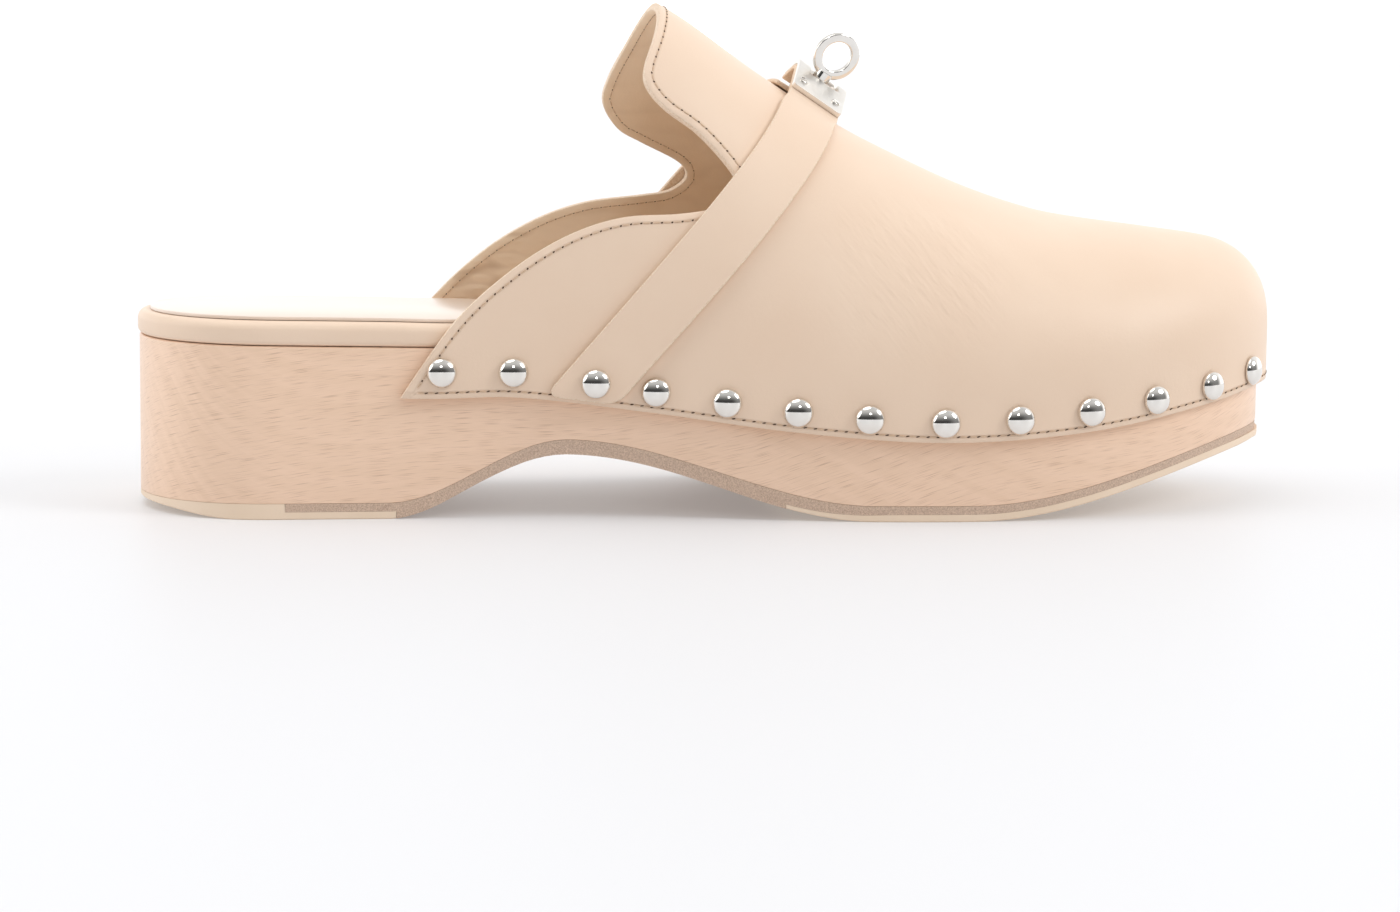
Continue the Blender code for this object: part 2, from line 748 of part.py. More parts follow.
def make_lock():
    """Base on the inner strap, plate on the outer strap, four screws and the turning ring."""
    along, across, out = lock_axes()
    frame = frame_object("lock_frame", along, across, out, SEAT)
    lean = math.radians(POST_LEAN)
    post_across = across * math.cos(lean) - out * math.sin(lean)
    post_out = out * math.cos(lean) + across * math.sin(lean)
    post_frame = frame_object("post_frame", along, post_across, post_out, SEAT)
    plate_low = OVER_THICKNESS + GAP
    plate_top = plate_low + PLATE_THICKNESS

    middle = (PLATE_FAR - PLATE_NEAR) / 2
    corners = rounded_plan(PLATE_LENGTH, PLATE_NEAR + PLATE_FAR, PLATE_CORNER, 3)
    plate_bm = prism([(a, b + middle) for a, b in corners], plate_low, plate_top)
    for b in fold_lines():
        everything = plate_bm.verts[:] + plate_bm.edges[:] + plate_bm.faces[:]
        bmesh.ops.bisect_plane(plate_bm, geom=everything, plane_co=(0.0, b, 0.0), plane_no=(0.0, 1.0, 0.0))
    for vert in plate_bm.verts:
        vert.co.y, vert.co.z, _ = folded(vert.co.y, vert.co.z)
    plate = finish(plate_bm, "lock_plate", NICKEL)
    plate.parent = frame
    slot = finish(prism(ellipse_plan(SLOT_LENGTH, SLOT_WIDTH, 20), -3.0, plate_top + 2.0), "slot_cutter", NICKEL)
    hole_size = 2 * (POST_RADIUS + GAP)
    hole = finish(prism(ellipse_plan(hole_size, hole_size, 14), -3.0, plate_top), "post_cutter", NICKEL)
    for cutter, a in ((slot, SLOT_A), (hole, POST_A)):
        as_cutter(cutter).parent = post_frame
        cutter.location = Vector((a, 0.0, 0.0)) * MM
    cut(plate, slot)
    cut(bpy.data.objects["strap_over"], hole)

    make_ring(post_frame, plate_top)

    number = 0
    for a in (-SCREW_A, SCREW_A):
        for b in (-SCREW_NEAR, SCREW_FAR):
            number += 1
            folded_b, folded_c, turn = folded(b, plate_top + GAP)
            head = lathe(dome_profile(SCREW_RADIUS, SCREW_HEIGHT, 0.2, 2), 10)
            screw = finish(head, f"lock_screw_{number}", NICKEL)
            screw.parent = frame
            screw.rotation_euler = (-turn, 0.0, 0.0)
            screw.location = Vector((a, folded_b, folded_c)) * MM

    ridge = upper_face(MEDIAL, station(BASE_X), math.pi / 2)
    ridge_out = upper_normal(MEDIAL, station(BASE_X), math.pi / 2)
    ridge_along = Vector((0, 1, 0)).cross(ridge_out).normalized()
    seat = ridge + Vector((0, BASE_PAST_RIDGE, 0)) + ridge_out * (STRAP_GAP + UNDER_THICKNESS + GAP)
    base_frame = frame_object("base_frame", ridge_along, ridge_out.cross(ridge_along), ridge_out, seat)
    base_plan = rounded_plan(BASE_LENGTH, BASE_WIDTH, BASE_WIDTH / 2 - 0.01, 5)
    base = finish(prism(base_plan, 0.0, BASE_THICKNESS), "lock_base", NICKEL)
    base.parent = base_frame


def make_ring(frame, plate_top):
    """Upright flat ring on a short neck and a round post, one solid that turns about the post."""
    centre = plate_top + RING_RISE
    neck_low = plate_top + GAP
    ring_bm = bmesh.new()
    middle = (RING_OUTER + RING_INNER) / 2
    half_wide = (RING_OUTER - RING_INNER) / 2
    half_thick = RING_THICKNESS / 2
    corner = 0.4
    section = rounded_plan(2 * half_wide, 2 * half_thick, corner, 2)
    verts = [ring_bm.verts.new((middle + u, v, 0.0)) for u, v in section]
    edges = [ring_bm.edges.new((verts[k - 1], verts[k])) for k in range(len(verts))]
    bmesh.ops.spin(
        ring_bm, geom=verts + edges, cent=(0, 0, 0), axis=(0, 1, 0), angle=2 * math.pi, steps=24, use_merge=True
    )
    bmesh.ops.remove_doubles(ring_bm, verts=ring_bm.verts, dist=0.001)
    bmesh.ops.translate(ring_bm, vec=(0.0, 0.0, centre), verts=ring_bm.verts)
    ring = finish(ring_bm, "lock_ring", NICKEL)
    neck_top = centre - RING_INNER - 1.0
    neck = finish(
        prism(rounded_plan(NECK_LENGTH, NECK_THICKNESS, 0.6, 2), neck_low, neck_top), "ring_neck", NICKEL
    )
    post_plan = ellipse_plan(2 * POST_RADIUS, 2 * POST_RADIUS, 14)
    post = finish(prism(post_plan, -POST_BELOW, neck_low + 0.8), "ring_post", NICKEL)
    for thing in (ring, neck, post):
        thing.parent = frame
        thing.location = Vector((POST_A, 0.0, 0.0)) * MM
        thing.rotation_euler = (0.0, 0.0, math.radians(RING_TURN))
    for tool in (neck, post):
        as_cutter(tool)
        union = ring.modifiers.new("join_" + tool.name, "BOOLEAN")
        union.operation = "UNION"
        union.solver = "EXACT"
        union.object = tool


def stud_places(side):
    """Places s of the studs along the outline, a little closer together at the quarters than round the toe."""
    step = 0.0005
    s = station(FIRST_STUD_X)
    places = [s]
    for number in range(1, STUDS_PER_SIDE):
        pitch = STUD_PITCH_BACK if number <= STUDS_AT_BACK_PITCH else STUD_PITCH_FRONT
        walked = 0.0
        while walked < pitch and s < 3.0:
            walked += (plan(side, s + step, GAP + WALL) - plan(side, s, GAP + WALL)).length
            s += step
        places.append(s)
    return places


def at_height(side, s, z):
    """The rib angle at which the upper's face reaches a height."""
    low, high = -1.0, math.pi / 2
    for _ in range(40):
        angle = (low + high) / 2
        if upper_face(side, s, angle).z < z:
            low = angle
        else:
            high = angle
    return (low + high) / 2


def make_studs():
    """Domed nail heads along the lower edge of the upper; the third on each side goes through the strap."""
    for side, word in ((LATERAL, "lateral"), (MEDIAL, "medial")):
        places = stud_places(side)
        nail_angle = at_height(side, places[STRAP_STUD - 1], nail_line(outline(side, places[STRAP_STUD - 1]).x))
        places[STRAP_STUD - 1] = on_strap(side, nail_angle, 0.0)
        strap = OVER_THICKNESS if side == LATERAL else UNDER_THICKNESS
        for number, s in enumerate(places, start=1):
            angle = at_height(side, s, nail_line(outline(side, s).x))
            normal = upper_normal(side, s, angle)
            stand = GAP + (STRAP_GAP + strap if number == STRAP_STUD else 0.0)
            head = lathe(dome_profile(STUD_RADIUS, STUD_HEIGHT, STUD_FLANGE, STUD_RINGS), STUD_SEGMENTS)
            stud = finish(head, f"stud_{word}_{number:02d}", NICKEL)
            stud.rotation_euler = normal.to_track_quat("Z", "Y").to_euler()
            stud.location = (upper_face(side, s, angle) + normal * stand) * MM


for thing in list(bpy.data.objects):
    bpy.data.objects.remove(thing)

BEECH = material("beech", (226, 193, 163), 0.45)
TAUPE_RUBBER = material("taupe_rubber", (178, 158, 141), 0.7)
BEIGE_RUBBER = material("beige_rubber", (226, 204, 174), 0.65)
RIM_LEATHER = material("rim_leather", (222, 186, 158), 0.4)
SOCK_LEATHER = material("sock_leather", (236, 208, 184), 0.3)
UPPER_LEATHER = material("upper_leather", (236, 210, 186), 0.45)
NICKEL = material("nickel_plate", (214, 212, 210), 0.12, 1.0)

STRAP_SHARES = (-1.0, -0.5, 0.0, 0.5, 1.0)
SEAT = Vector((LOCK_X, LOCK_Y, LOCK_Z))

make_sole()
make_footbed()
make_upper()
make_strap_over()
make_strap_under()
make_lock()
make_studs()
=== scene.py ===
"""A wooden-soled leather mule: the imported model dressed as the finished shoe."""

import math

import bmesh
import bpy
from mathutils import Matrix, Vector, kdtree


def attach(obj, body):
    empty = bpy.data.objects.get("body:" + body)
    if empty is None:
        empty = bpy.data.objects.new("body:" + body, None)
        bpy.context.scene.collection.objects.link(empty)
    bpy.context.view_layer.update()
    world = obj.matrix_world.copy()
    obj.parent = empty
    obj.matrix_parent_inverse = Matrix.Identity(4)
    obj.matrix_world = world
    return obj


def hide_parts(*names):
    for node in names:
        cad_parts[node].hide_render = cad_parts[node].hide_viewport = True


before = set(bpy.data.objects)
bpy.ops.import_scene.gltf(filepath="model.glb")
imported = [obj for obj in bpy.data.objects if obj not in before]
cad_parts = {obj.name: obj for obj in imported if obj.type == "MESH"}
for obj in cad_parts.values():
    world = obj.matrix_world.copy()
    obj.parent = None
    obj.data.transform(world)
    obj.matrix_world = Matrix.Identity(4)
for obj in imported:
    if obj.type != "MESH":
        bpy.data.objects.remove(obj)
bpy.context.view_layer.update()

# Studio: a sheet of frosted white acrylic in front of a white wall, four far soft lamps, and the camera
# low on the lateral side. The sheet glows a little: painted light that lifts the shade on the floor under
# and around the shoe. The room behind the camera is dim, which the studs mirror. Sizes in this file are
# millimetres until a mesh is made.
MM = 0.001
FLOOR_RADIUS, FLOOR_SEGMENTS = 9000.0, 96
ACRYLIC, FLOOR_GLOW_COLOUR, PAINTED_FLOOR_GLOW = "CACBCE", "FFFDFC", 0.20
WALL_LOW, WALL_HIGH, ROOM_LOW, ROOM_HIGH, SIDE_BRIGHT = 1.45, 0.90, 0.06, 0.66, 0.20
ROOM_SHADES = (
    # part of the room, axis of the way there, where its shade begins and ends, brightness at both ends
    ("front", "Z", 0.12, 0.80, ROOM_LOW, ROOM_HIGH),
    ("wall", "Z", 0.10, 0.60, WALL_LOW, WALL_HIGH),
    ("side", "X", 0.10, 0.90, 0.0, SIDE_BRIGHT),
    ("behind", "Y", -0.30, 0.25, 0.0, 1.0),
)
CAMERA_PLACE = Vector((-125.1, -790.2, 108.1))
CAMERA_HEADING = -8.79
CAMERA_PITCH = 7.063
CAMERA_ROLL = 0.6
CAMERA_FOCUS_PX = 3573.0
PHOTO_WIDTH_PX = 1400.0
SENSOR_WIDTH = 36.0
SOFT_LAMPS = (
    # name, way to the lamp, apparent width in degrees, strength
    ("lamp_in_front", (-0.05, -0.88, 0.47), 9.0, 0.20),
    ("lamp_overhead", (-0.25, -0.08, 0.96), 40.0, 0.62),
    ("lamp_beside_toe", (0.72, -0.38, 0.58), 26.0, 0.95),
    ("lamp_behind_heel", (-0.90, -0.08, 0.43), 36.0, 0.50),
)


def linear(code):
    """A hex colour as the linear red, green, blue and alpha that a shader takes."""
    parts = [int(code[k : k + 2], 16) / 255.0 for k in (0, 2, 4)]
    return tuple(c / 12.92 if c <= 0.04045 else ((c + 0.055) / 1.055) ** 2.4 for c in parts) + (1.0,)


def plug(tree, node, inputs):
    """Fills a node's sockets: an output is linked to its socket, and anything else is the socket's value."""
    for key, value in inputs.items():
        if isinstance(value, bpy.types.NodeSocket):
            tree.links.new(value, node.inputs[key])
        else:
            node.inputs[key].default_value = value


def add_node(tree, kind, inputs=None, **settings):
    """Adds a node with its settings, and fills its sockets."""
    made = tree.nodes.new(kind)
    for name, value in settings.items():
        setattr(made, name, value)
    plug(tree, made, inputs or {})
    return made


def new_material(name):
    """A new material with its node tree and its shader."""
    made = bpy.data.materials.new(name)
    made.use_nodes = True
    return made, made.node_tree, made.node_tree.nodes["Principled BSDF"]


floor_bm = bmesh.new()
bmesh.ops.create_circle(floor_bm, cap_ends=True, segments=FLOOR_SEGMENTS, radius=FLOOR_RADIUS * MM)
floor_mesh = bpy.data.meshes.new("acrylic_floor")
floor_bm.to_mesh(floor_mesh)
floor_bm.free()
floor = bpy.data.objects.new("acrylic_floor", floor_mesh)
bpy.context.scene.collection.objects.link(floor)
acrylic, acrylic_tree, acrylic_shader = new_material("white_floor_with_painted_glow")
acrylic_looks = {
    "Base Color": linear(ACRYLIC),
    "Emission Color": linear(FLOOR_GLOW_COLOUR),
    # The glow is painted light, which lightens the floor's shade under and around the shoe.
    "Emission Strength": PAINTED_FLOOR_GLOW,
    "Roughness": 0.5,
    "Specular IOR Level": 0.35,
}
plug(acrylic_tree, acrylic_shader, acrylic_looks)
floor_mesh.materials.append(acrylic)

for name, way, apparent, strength in SOFT_LAMPS:
    lamp = bpy.data.lights.new(name, "SUN")
    lamp.angle = math.radians(apparent)
    lamp.energy = strength
    holder = bpy.data.objects.new(name, lamp)
    holder.rotation_euler = Vector(way).to_track_quat("Z", "Y").to_euler()
    bpy.context.scene.collection.objects.link(holder)

room = bpy.data.worlds.new("studio_room")
room.use_nodes = True
room_tree = room.node_tree
room_way = add_node(room_tree, "ShaderNodeTexCoord").outputs["Generated"]
room_split = add_node(room_tree, "ShaderNodeSeparateXYZ", {0: room_way})
room_shade = {}
for name, axis, begins, ends, low, high in ROOM_SHADES:
    shade = {
        "Value": room_split.outputs[axis],
        "From Min": begins,
        "From Max": ends,
        "To Min": low,
        "To Max": high,
    }
    shaded = add_node(room_tree, "ShaderNodeMapRange", shade, interpolation_type="SMOOTHSTEP")
    room_shade[name] = shaded.outputs["Result"]
room_depth = add_node(
    room_tree,
    "ShaderNodeMix",
    {"Factor": room_shade["behind"], "A": room_shade["front"], "B": room_shade["wall"]},
)
room_light = add_node(room_tree, "ShaderNodeMath", {0: room_depth.outputs["Result"], 1: room_shade["side"]})
room_looks = {"Color": linear("FFFFFF"), "Strength": room_light.outputs["Value"]}
plug(room_tree, room_tree.nodes["Background"], room_looks)
bpy.context.scene.world = room

heading, pitch, roll = (math.radians(v) for v in (CAMERA_HEADING, CAMERA_PITCH, CAMERA_ROLL))
level_right = Vector((math.cos(heading), math.sin(heading), 0.0))
ahead = Vector(
    (-math.sin(heading) * math.cos(pitch), math.cos(heading) * math.cos(pitch), -math.sin(pitch))
)
level_up = level_right.cross(ahead)
camera_right = level_right * math.cos(roll) + level_up * math.sin(roll)
camera_up = level_up * math.cos(roll) - level_right * math.sin(roll)
lens = bpy.data.cameras.new("photo_camera")
lens.sensor_fit = "HORIZONTAL"
lens.sensor_width = SENSOR_WIDTH
lens.lens = CAMERA_FOCUS_PX / PHOTO_WIDTH_PX * SENSOR_WIDTH
camera = bpy.data.objects.new("photo_camera", lens)
axes = Matrix((camera_right, camera_up, -ahead)).transposed().to_4x4()
camera.matrix_world = Matrix.Translation(CAMERA_PLACE * MM) @ axes
bpy.context.scene.collection.objects.link(camera)
bpy.context.scene.camera = camera
bpy.context.scene.view_settings.view_transform = "Standard"

# Carved sole block: beech, band-sawn to the sole's outline with a heel, an arch and toe spring, then sanded
# and oiled. Its faces show short dark ray flecks along the grain, and growth rings that bow where the
# block curves.
LATERAL, MEDIAL = -1, 1
GAP = 0.3
HEEL_BACK, HEEL_SIDE, HEEL_HALF_WIDTH, HEEL_SQUARENESS = -127.5, -98.5, 31.5, 2.15
TOE_SIDE, TOE_TIP, TOE_TIP_Y, TOE_SQUARENESS = 50.0, 125.6, 3.0, 2.1
OUTLINE = (
    # x, lateral half width, medial half width
    (-98.5, 31.5, 31.5),
    (-60.0, 32.2, 30.2),
    (-25.0, 35.0, 31.0),
    (5.0, 40.8, 38.4),
    (30.0, 45.2, 44.6),
    (50.0, 46.4, 46.2),
)
ARCH_BACK, ARCH_TOP, ARCH_FRONT, ARCH_HEIGHT = -75.0, -37.0, 28.0, 13.6
TOE_SPRING_START, TOE_SPRING_LENGTH, TOE_SPRING = 50.0, 80.0, 14.6
NAIL_LINE = (
    # x, height of the nails, depth of the leather's hem below them
    (-120.0, 32.3, 5.5),
    (-66.0, 31.6, 5.5),
    (-48.0, 31.6, 5.2),
    (-18.0, 27.6, 4.5),
    (12.0, 23.7, 4.3),
    (44.0, 21.6, 4.1),
    (76.0, 23.8, 4.3),
    (107.0, 28.4, 3.9),
    (120.0, 31.0, 4.2),
    (127.0, 32.0, 4.6),
)
SOLE_THICKNESS = 3.4
WOOD_ABOVE_NAILS = 5.1
WOOD_EDGE_LOW, WOOD_EDGE_TOP, EDGE_STEPS = 0.12, 0.5, 4
HEEL_STEPS, SIDE_STEP, TOE_STEPS = 30, 2.2, 40
WELD_WITHIN, SLIVER_WITHIN = 0.02, 0.005
SEAM = 0.03
BEECH_PALE, BEECH_MID, BEECH_FLECK = "FBDAC0", "EECCAF", "A67654"
HEEL_ARC = 47.5
GRAIN_RISE = (
    # place along the wall, height a ray fleck has climbed there, height a growth ring has climbed there
    (-146.0, 0.0, 62.0),
    (-125.0, 6.5, 32.0),
    (-110.0, 10.5, 14.0),
    (-89.0, 14.0, 4.0),
    (-60.0, 16.6, 5.5),
    (-30.0, 18.0, 7.0),
    (0.0, 23.5, 2.5),
    (20.0, 30.5, -6.0),
    (50.0, 41.0, -21.0),
    (70.0, 45.0, -28.0),
    (100.0, 49.0, -32.0),
    (126.0, 59.0, -32.0),
)
FLECK_SIZE = (5.8, 9.0, 0.17)
RING_SIZE = (46.0, 12.0, 2.1)
PORE_SIZE = (11.0, 3.0, 0.33)
FLECK_WANDER, FLECK_SWAY, FLECK_RELIEF = 0.35, 2.2, -0.6
FLECK_CORE, FLECK_EDGE, FLECK_DARKEST = 0.10, 0.42, 0.58
RING_PALE, RING_DARK, RING_WEIGHT, RING_BASE, PORE_WEIGHT = 0.32, 0.70, 0.45, -0.05, 0.6


def smoothstep(u):
    u = min(max(u, 0.0), 1.0)
    return u * u * (3.0 - 2.0 * u)


def mix(a, b, u):
    return a + (b - a) * u


def curve(rows, column, x, end_slope=None):
    """A smooth line through one column of a table whose first column is x, straight beyond its ends."""
    last = len(rows) - 1

    def slope(k):
        if end_slope is not None and k in (0, last):
            return end_slope
        a, b = rows[max(k - 1, 0)], rows[min(k + 1, last)]
        return (b[column] - a[column]) / (b[0] - a[0])

    if x <= rows[0][0]:
        return rows[0][column] + slope(0) * (x - rows[0][0])
    if x >= rows[last][0]:
        return rows[last][column] + slope(last) * (x - rows[last][0])
    k = max(i for i in range(last) if rows[i][0] <= x)
    span = rows[k + 1][0] - rows[k][0]
    u = (x - rows[k][0]) / span
    bend = (u**3 - 2 * u**2 + u) * slope(k) + (u**3 - u**2) * slope(k + 1)
    return mix(rows[k][column], rows[k + 1][column], smoothstep(u)) + span * bend


def round_pair(angle, squareness):
    """The two legs of a rounded corner, 1 and 0 at angle 0, 0 and 1 at a right angle."""
    power = 2.0 / squareness
    return max(math.cos(angle), 0.0) ** power, max(math.sin(angle), 0.0) ** power


def outline(side, s):
    """The sole's plan outline: s is 0 at the heel's back, 1 and 2 where the sides end, 3 at the toe's tip."""
    column = 1 if side == LATERAL else 2
    if s < 1.0:
        back, out = round_pair(s * math.pi / 2, HEEL_SQUARENESS)
        return Vector((HEEL_SIDE + (HEEL_BACK - HEEL_SIDE) * back, side * HEEL_HALF_WIDTH * out))
    if s <= 2.0:
        x = mix(HEEL_SIDE, TOE_SIDE, s - 1.0)
        return Vector((x, side * curve(OUTLINE, column, x, 0.0)))
    out, front = round_pair((s - 2.0) * math.pi / 2, TOE_SQUARENESS)
    half = side * OUTLINE[-1][column] - TOE_TIP_Y
    return Vector((TOE_SIDE + (TOE_TIP - TOE_SIDE) * front, TOE_TIP_Y + half * out))


def station(x):
    """The outline's s at a place along its sides."""
    return 1.0 + (x - HEEL_SIDE) / (TOE_SIDE - HEEL_SIDE)


def plan_normal(side, s):
    step = 0.001
    run = outline(side, min(s + step, 3.0)) - outline(side, max(s - step, 0.0))
    run.normalize()
    return Vector((-run.y, run.x)) * side


def plan(side, s, out):
    """A point of the outline moved outwards in plan."""
    return outline(side, s) + plan_normal(side, s) * out


def ground(x):
    """The underside of the whole shoe: flat at heel and forefoot, an arch between them, and toe spring."""
    rise = smoothstep((x - ARCH_BACK) / (ARCH_TOP - ARCH_BACK))
    fall = smoothstep((x - ARCH_TOP) / (ARCH_FRONT - ARCH_TOP))
    spring = smoothstep((x - TOE_SPRING_START) / TOE_SPRING_LENGTH)
    return ARCH_HEIGHT * (rise - fall) + TOE_SPRING * spring


def nail_line(x):
    return curve(NAIL_LINE, 1, x)


def wood_top(x):
    return nail_line(x) + WOOD_ABOVE_NAILS


def raised(height, amount):
    return lambda x: height(x) + amount


def inset_by(amount):
    return lambda s: -amount


def rounded_edge(edge, height, top):
    """Rings over a quarter-round edge: from wall to face if top is 1, and from face to wall if it is -1."""
    rings = []
    for k in range(EDGE_STEPS + 1):
        angle = math.pi / 2 * (k if top > 0 else EDGE_STEPS - k) / EDGE_STEPS
        drop = top * edge * (1 - math.sin(angle))
        rings.append((inset_by(edge * (1 - math.cos(angle))), raised(height, -drop)))
    return rings


def slab(stations, rings):
    """A closed bmesh in the sole's outline; its rings, an offset and a height each, run bottom to top."""
    bm = bmesh.new()
    columns, rows = len(stations) - 1, len(rings) + 1
    for side in (LATERAL, MEDIAL):
        grid = bmesh.ops.create_grid(bm, x_segments=columns, y_segments=rows, size=0.5)
        for vert in grid["verts"]:
            s = stations[round((vert.co.x + 0.5) * columns)]
            k = round((vert.co.y + 0.5) * rows) - 1
            out, height = rings[min(max(k, 0), len(rings) - 1)]
            at = plan(side, s, out(s))
            if k in (-1, len(rings)):
                at = (at + plan(-side, s, out(s))) / 2
            vert.co = (at.x, at.y, height(at.x))
    bmesh.ops.remove_doubles(bm, verts=bm.verts, dist=WELD_WITHIN)
    bmesh.ops.dissolve_degenerate(bm, dist=SLIVER_WITHIN, edges=bm.edges)
    bmesh.ops.recalc_face_normals(bm, faces=bm.faces)
    return bm


def make_piece(bm, name, materials, sharp=40.0):
    """Turns a bmesh in millimetres into a linked object with its materials."""
    bmesh.ops.scale(bm, vec=(MM, MM, MM), verts=bm.verts)
    mesh = bpy.data.meshes.new(name)
    bm.to_mesh(mesh)
    bm.free()
    mesh.shade_smooth()
    mesh.set_sharp_from_angle(angle=math.radians(sharp))
    for made_of in materials:
        mesh.materials.append(made_of)
    thing = bpy.data.objects.new(name, mesh)
    bpy.context.scene.collection.objects.link(thing)
    return thing


side_count = round((TOE_SIDE - HEEL_SIDE) / SIDE_STEP)
stations = [k / HEEL_STEPS for k in range(HEEL_STEPS)]
stations += [1.0 + k / side_count for k in range(side_count)]
stations += [2.0 + k / TOE_STEPS for k in range(TOE_STEPS + 1)]
wood_under = raised(ground, SOLE_THICKNESS + SEAM)
wood_rings = rounded_edge(WOOD_EDGE_LOW, wood_under, -1) + rounded_edge(WOOD_EDGE_TOP, wood_top, 1)

wood_bm = slab(stations, wood_rings)
grain_layer = wood_bm.verts.layers.float_vector.new("grain_mm")
ring_layer = wood_bm.verts.layers.float_vector.new("ring_mm")
for vert in wood_bm.verts:
    along = vert.co.x
    if along < HEEL_SIDE:
        turned = math.atan2(abs(vert.co.y), HEEL_SIDE - along) / (math.pi / 2)
        along = HEEL_SIDE - HEEL_ARC * (1.0 - turned)
    vert[grain_layer] = (along, vert.co.y, vert.co.z - curve(GRAIN_RISE, 1, along))
    vert[ring_layer] = (along, vert.co.y, vert.co.z - curve(GRAIN_RISE, 2, along))

# Oiled beech, sanded across the curves: a warm pale ground with faint rings, and fine dark flecks two to
# four millimetres long.
beech, beech_tree, beech_shader = new_material("oiled_beech")
beech_space = {}
for name, attribute, stretch in (
    ("fleck", "grain_mm", FLECK_SIZE),
    ("ring", "ring_mm", RING_SIZE),
    ("pore", "grain_mm", PORE_SIZE),
):
    beech_at = add_node(beech_tree, "ShaderNodeAttribute", attribute_name=attribute).outputs["Vector"]
    beech_map = add_node(
        beech_tree, "ShaderNodeMapping", {"Vector": beech_at, "Scale": [1.0 / v for v in stretch]}
    )
    beech_space[name] = beech_map.outputs["Vector"]
fleck_sway = add_node(
    beech_tree, "ShaderNodeTexNoise", {"Vector": beech_space["fleck"], "Scale": FLECK_WANDER}
)
fleck_bent = add_node(
    beech_tree,
    "ShaderNodeVectorMath",
    {0: fleck_sway.outputs["Color"], 1: (0.0, 0.0, FLECK_SWAY), 2: beech_space["fleck"]},
    operation="MULTIPLY_ADD",
)
fleck_cells = add_node(
    beech_tree, "ShaderNodeTexVoronoi", {"Vector": fleck_bent.outputs["Vector"], "Scale": 1.0}
)
fleck_core = add_node(
    beech_tree,
    "ShaderNodeMapRange",
    {
        "Value": fleck_cells.outputs["Distance"],
        "From Min": FLECK_CORE,
        "From Max": FLECK_EDGE,
        "To Min": 1.0,
        "To Max": 0.0,
    },
)
fleck_pick = add_node(beech_tree, "ShaderNodeSeparateColor", {"Color": fleck_cells.outputs["Color"]})
fleck_amount = add_node(
    beech_tree, "ShaderNodeMapRange", {"Value": fleck_pick.outputs["Red"], "To Max": FLECK_DARKEST}
)
fleck = add_node(
    beech_tree,
    "ShaderNodeMath",
    {0: fleck_core.outputs["Result"], 1: fleck_amount.outputs["Result"]},
    operation="MULTIPLY",
)
ring_bands = add_node(
    beech_tree, "ShaderNodeTexNoise", {"Vector": beech_space["ring"], "Scale": 1.0, "Detail": 3.0}
)
ring_share = add_node(
    beech_tree,
    "ShaderNodeMapRange",
    {"Value": ring_bands.outputs["Fac"], "From Min": RING_PALE, "From Max": RING_DARK},
)
pores = add_node(
    beech_tree, "ShaderNodeTexNoise", {"Vector": beech_space["pore"], "Scale": 1.0, "Detail": 3.0}
)
ground_share = add_node(
    beech_tree,
    "ShaderNodeMath",
    {0: ring_share.outputs["Result"], 1: RING_WEIGHT, 2: RING_BASE},
    operation="MULTIPLY_ADD",
)
tone_share = add_node(
    beech_tree,
    "ShaderNodeMath",
    {0: pores.outputs["Fac"], 1: PORE_WEIGHT, 2: ground_share.outputs["Value"]},
    operation="MULTIPLY_ADD",
    use_clamp=True,
)
beech_ground = add_node(
    beech_tree,
    "ShaderNodeMix",
    {"Factor": tone_share.outputs["Value"], "A": linear(BEECH_PALE), "B": linear(BEECH_MID)},
    data_type="RGBA",
)
beech_colour = add_node(
    beech_tree,
    "ShaderNodeMix",
    {"Factor": fleck.outputs["Value"], "A": beech_ground.outputs[2], "B": linear(BEECH_FLECK)},
    data_type="RGBA",
)
beech_relief = add_node(
    beech_tree,
    "ShaderNodeMath",
    {0: fleck.outputs["Value"], 1: FLECK_RELIEF, 2: pores.outputs["Fac"]},
    operation="MULTIPLY_ADD",
)
beech_bump = add_node(
    beech_tree,
    "ShaderNodeBump",
    {"Height": beech_relief.outputs["Value"], "Strength": 0.12, "Distance": 0.3 * MM},
)
beech_looks = {
    "Base Color": beech_colour.outputs[2],
    "Normal": beech_bump.outputs["Normal"],
    "Roughness": 0.42,
    "Specular IOR Level": 0.4,
    "Coat Weight": 0.25,
    "Coat Roughness": 0.3,
}
plug(beech_tree, beech_shader, beech_looks)

wood = make_piece(wood_bm, "carved_sole", [beech])
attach(wood, "shoe")
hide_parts("wood_sole")

# Rubber sheets: a taupe runner glued under the block, a beige lift let in under the heel and a beige
# outsole let in under the forefoot. All are cut to the outline and sanded flush with the wood; the outsole
# stands out a little at the toe. Stations lie close together where two sheets butt.
INLAY_THICKNESS = 1.6
LIFT_FULL_FRONT, LIFT_FRONT, FOREFOOT_BACK = -97.2, -73.5, 9.5
BUTT_STEPS, BUTT_EARLY, BUTT_LATE = (0.0, 0.05, 0.1), 0.03, 0.08
HEEL_BEVEL, HEEL_BEVEL_LENGTH = 2.0, 20.0
TOE_LIP, TRIM_WAVE = 0.4, 0.25
RUBBER_EDGE = 0.25
OUTSOLE_START, OUTSOLE_TAPER = 0.9, 26.0
TAUPE_PALE, TAUPE_DARK, GRIT = "E2C9B3", "B69A87", 0.30
BEIGE_RUBBER, BEIGE_RUBBER_SHADE, BEIGE_CLOUD, BEIGE_SCUFF = "F5DFC8", "ECD5BB", 11.11, 0.714
SANDED_ARCH = (
    # x, how much of the runner is sanded away underneath
    (-74.0, 0.0),
    (-66.0, 0.35),
    (-58.0, 0.80),
    (-48.0, 0.60),
    (-37.0, 0.25),
    (-14.0, 0.30),
    (8.0, 0.0),
)
RUNNER_TOE_CUT, RUNNER_TOP_CUT, TEAR_WAVE = 1.2, 0.4, 0.3


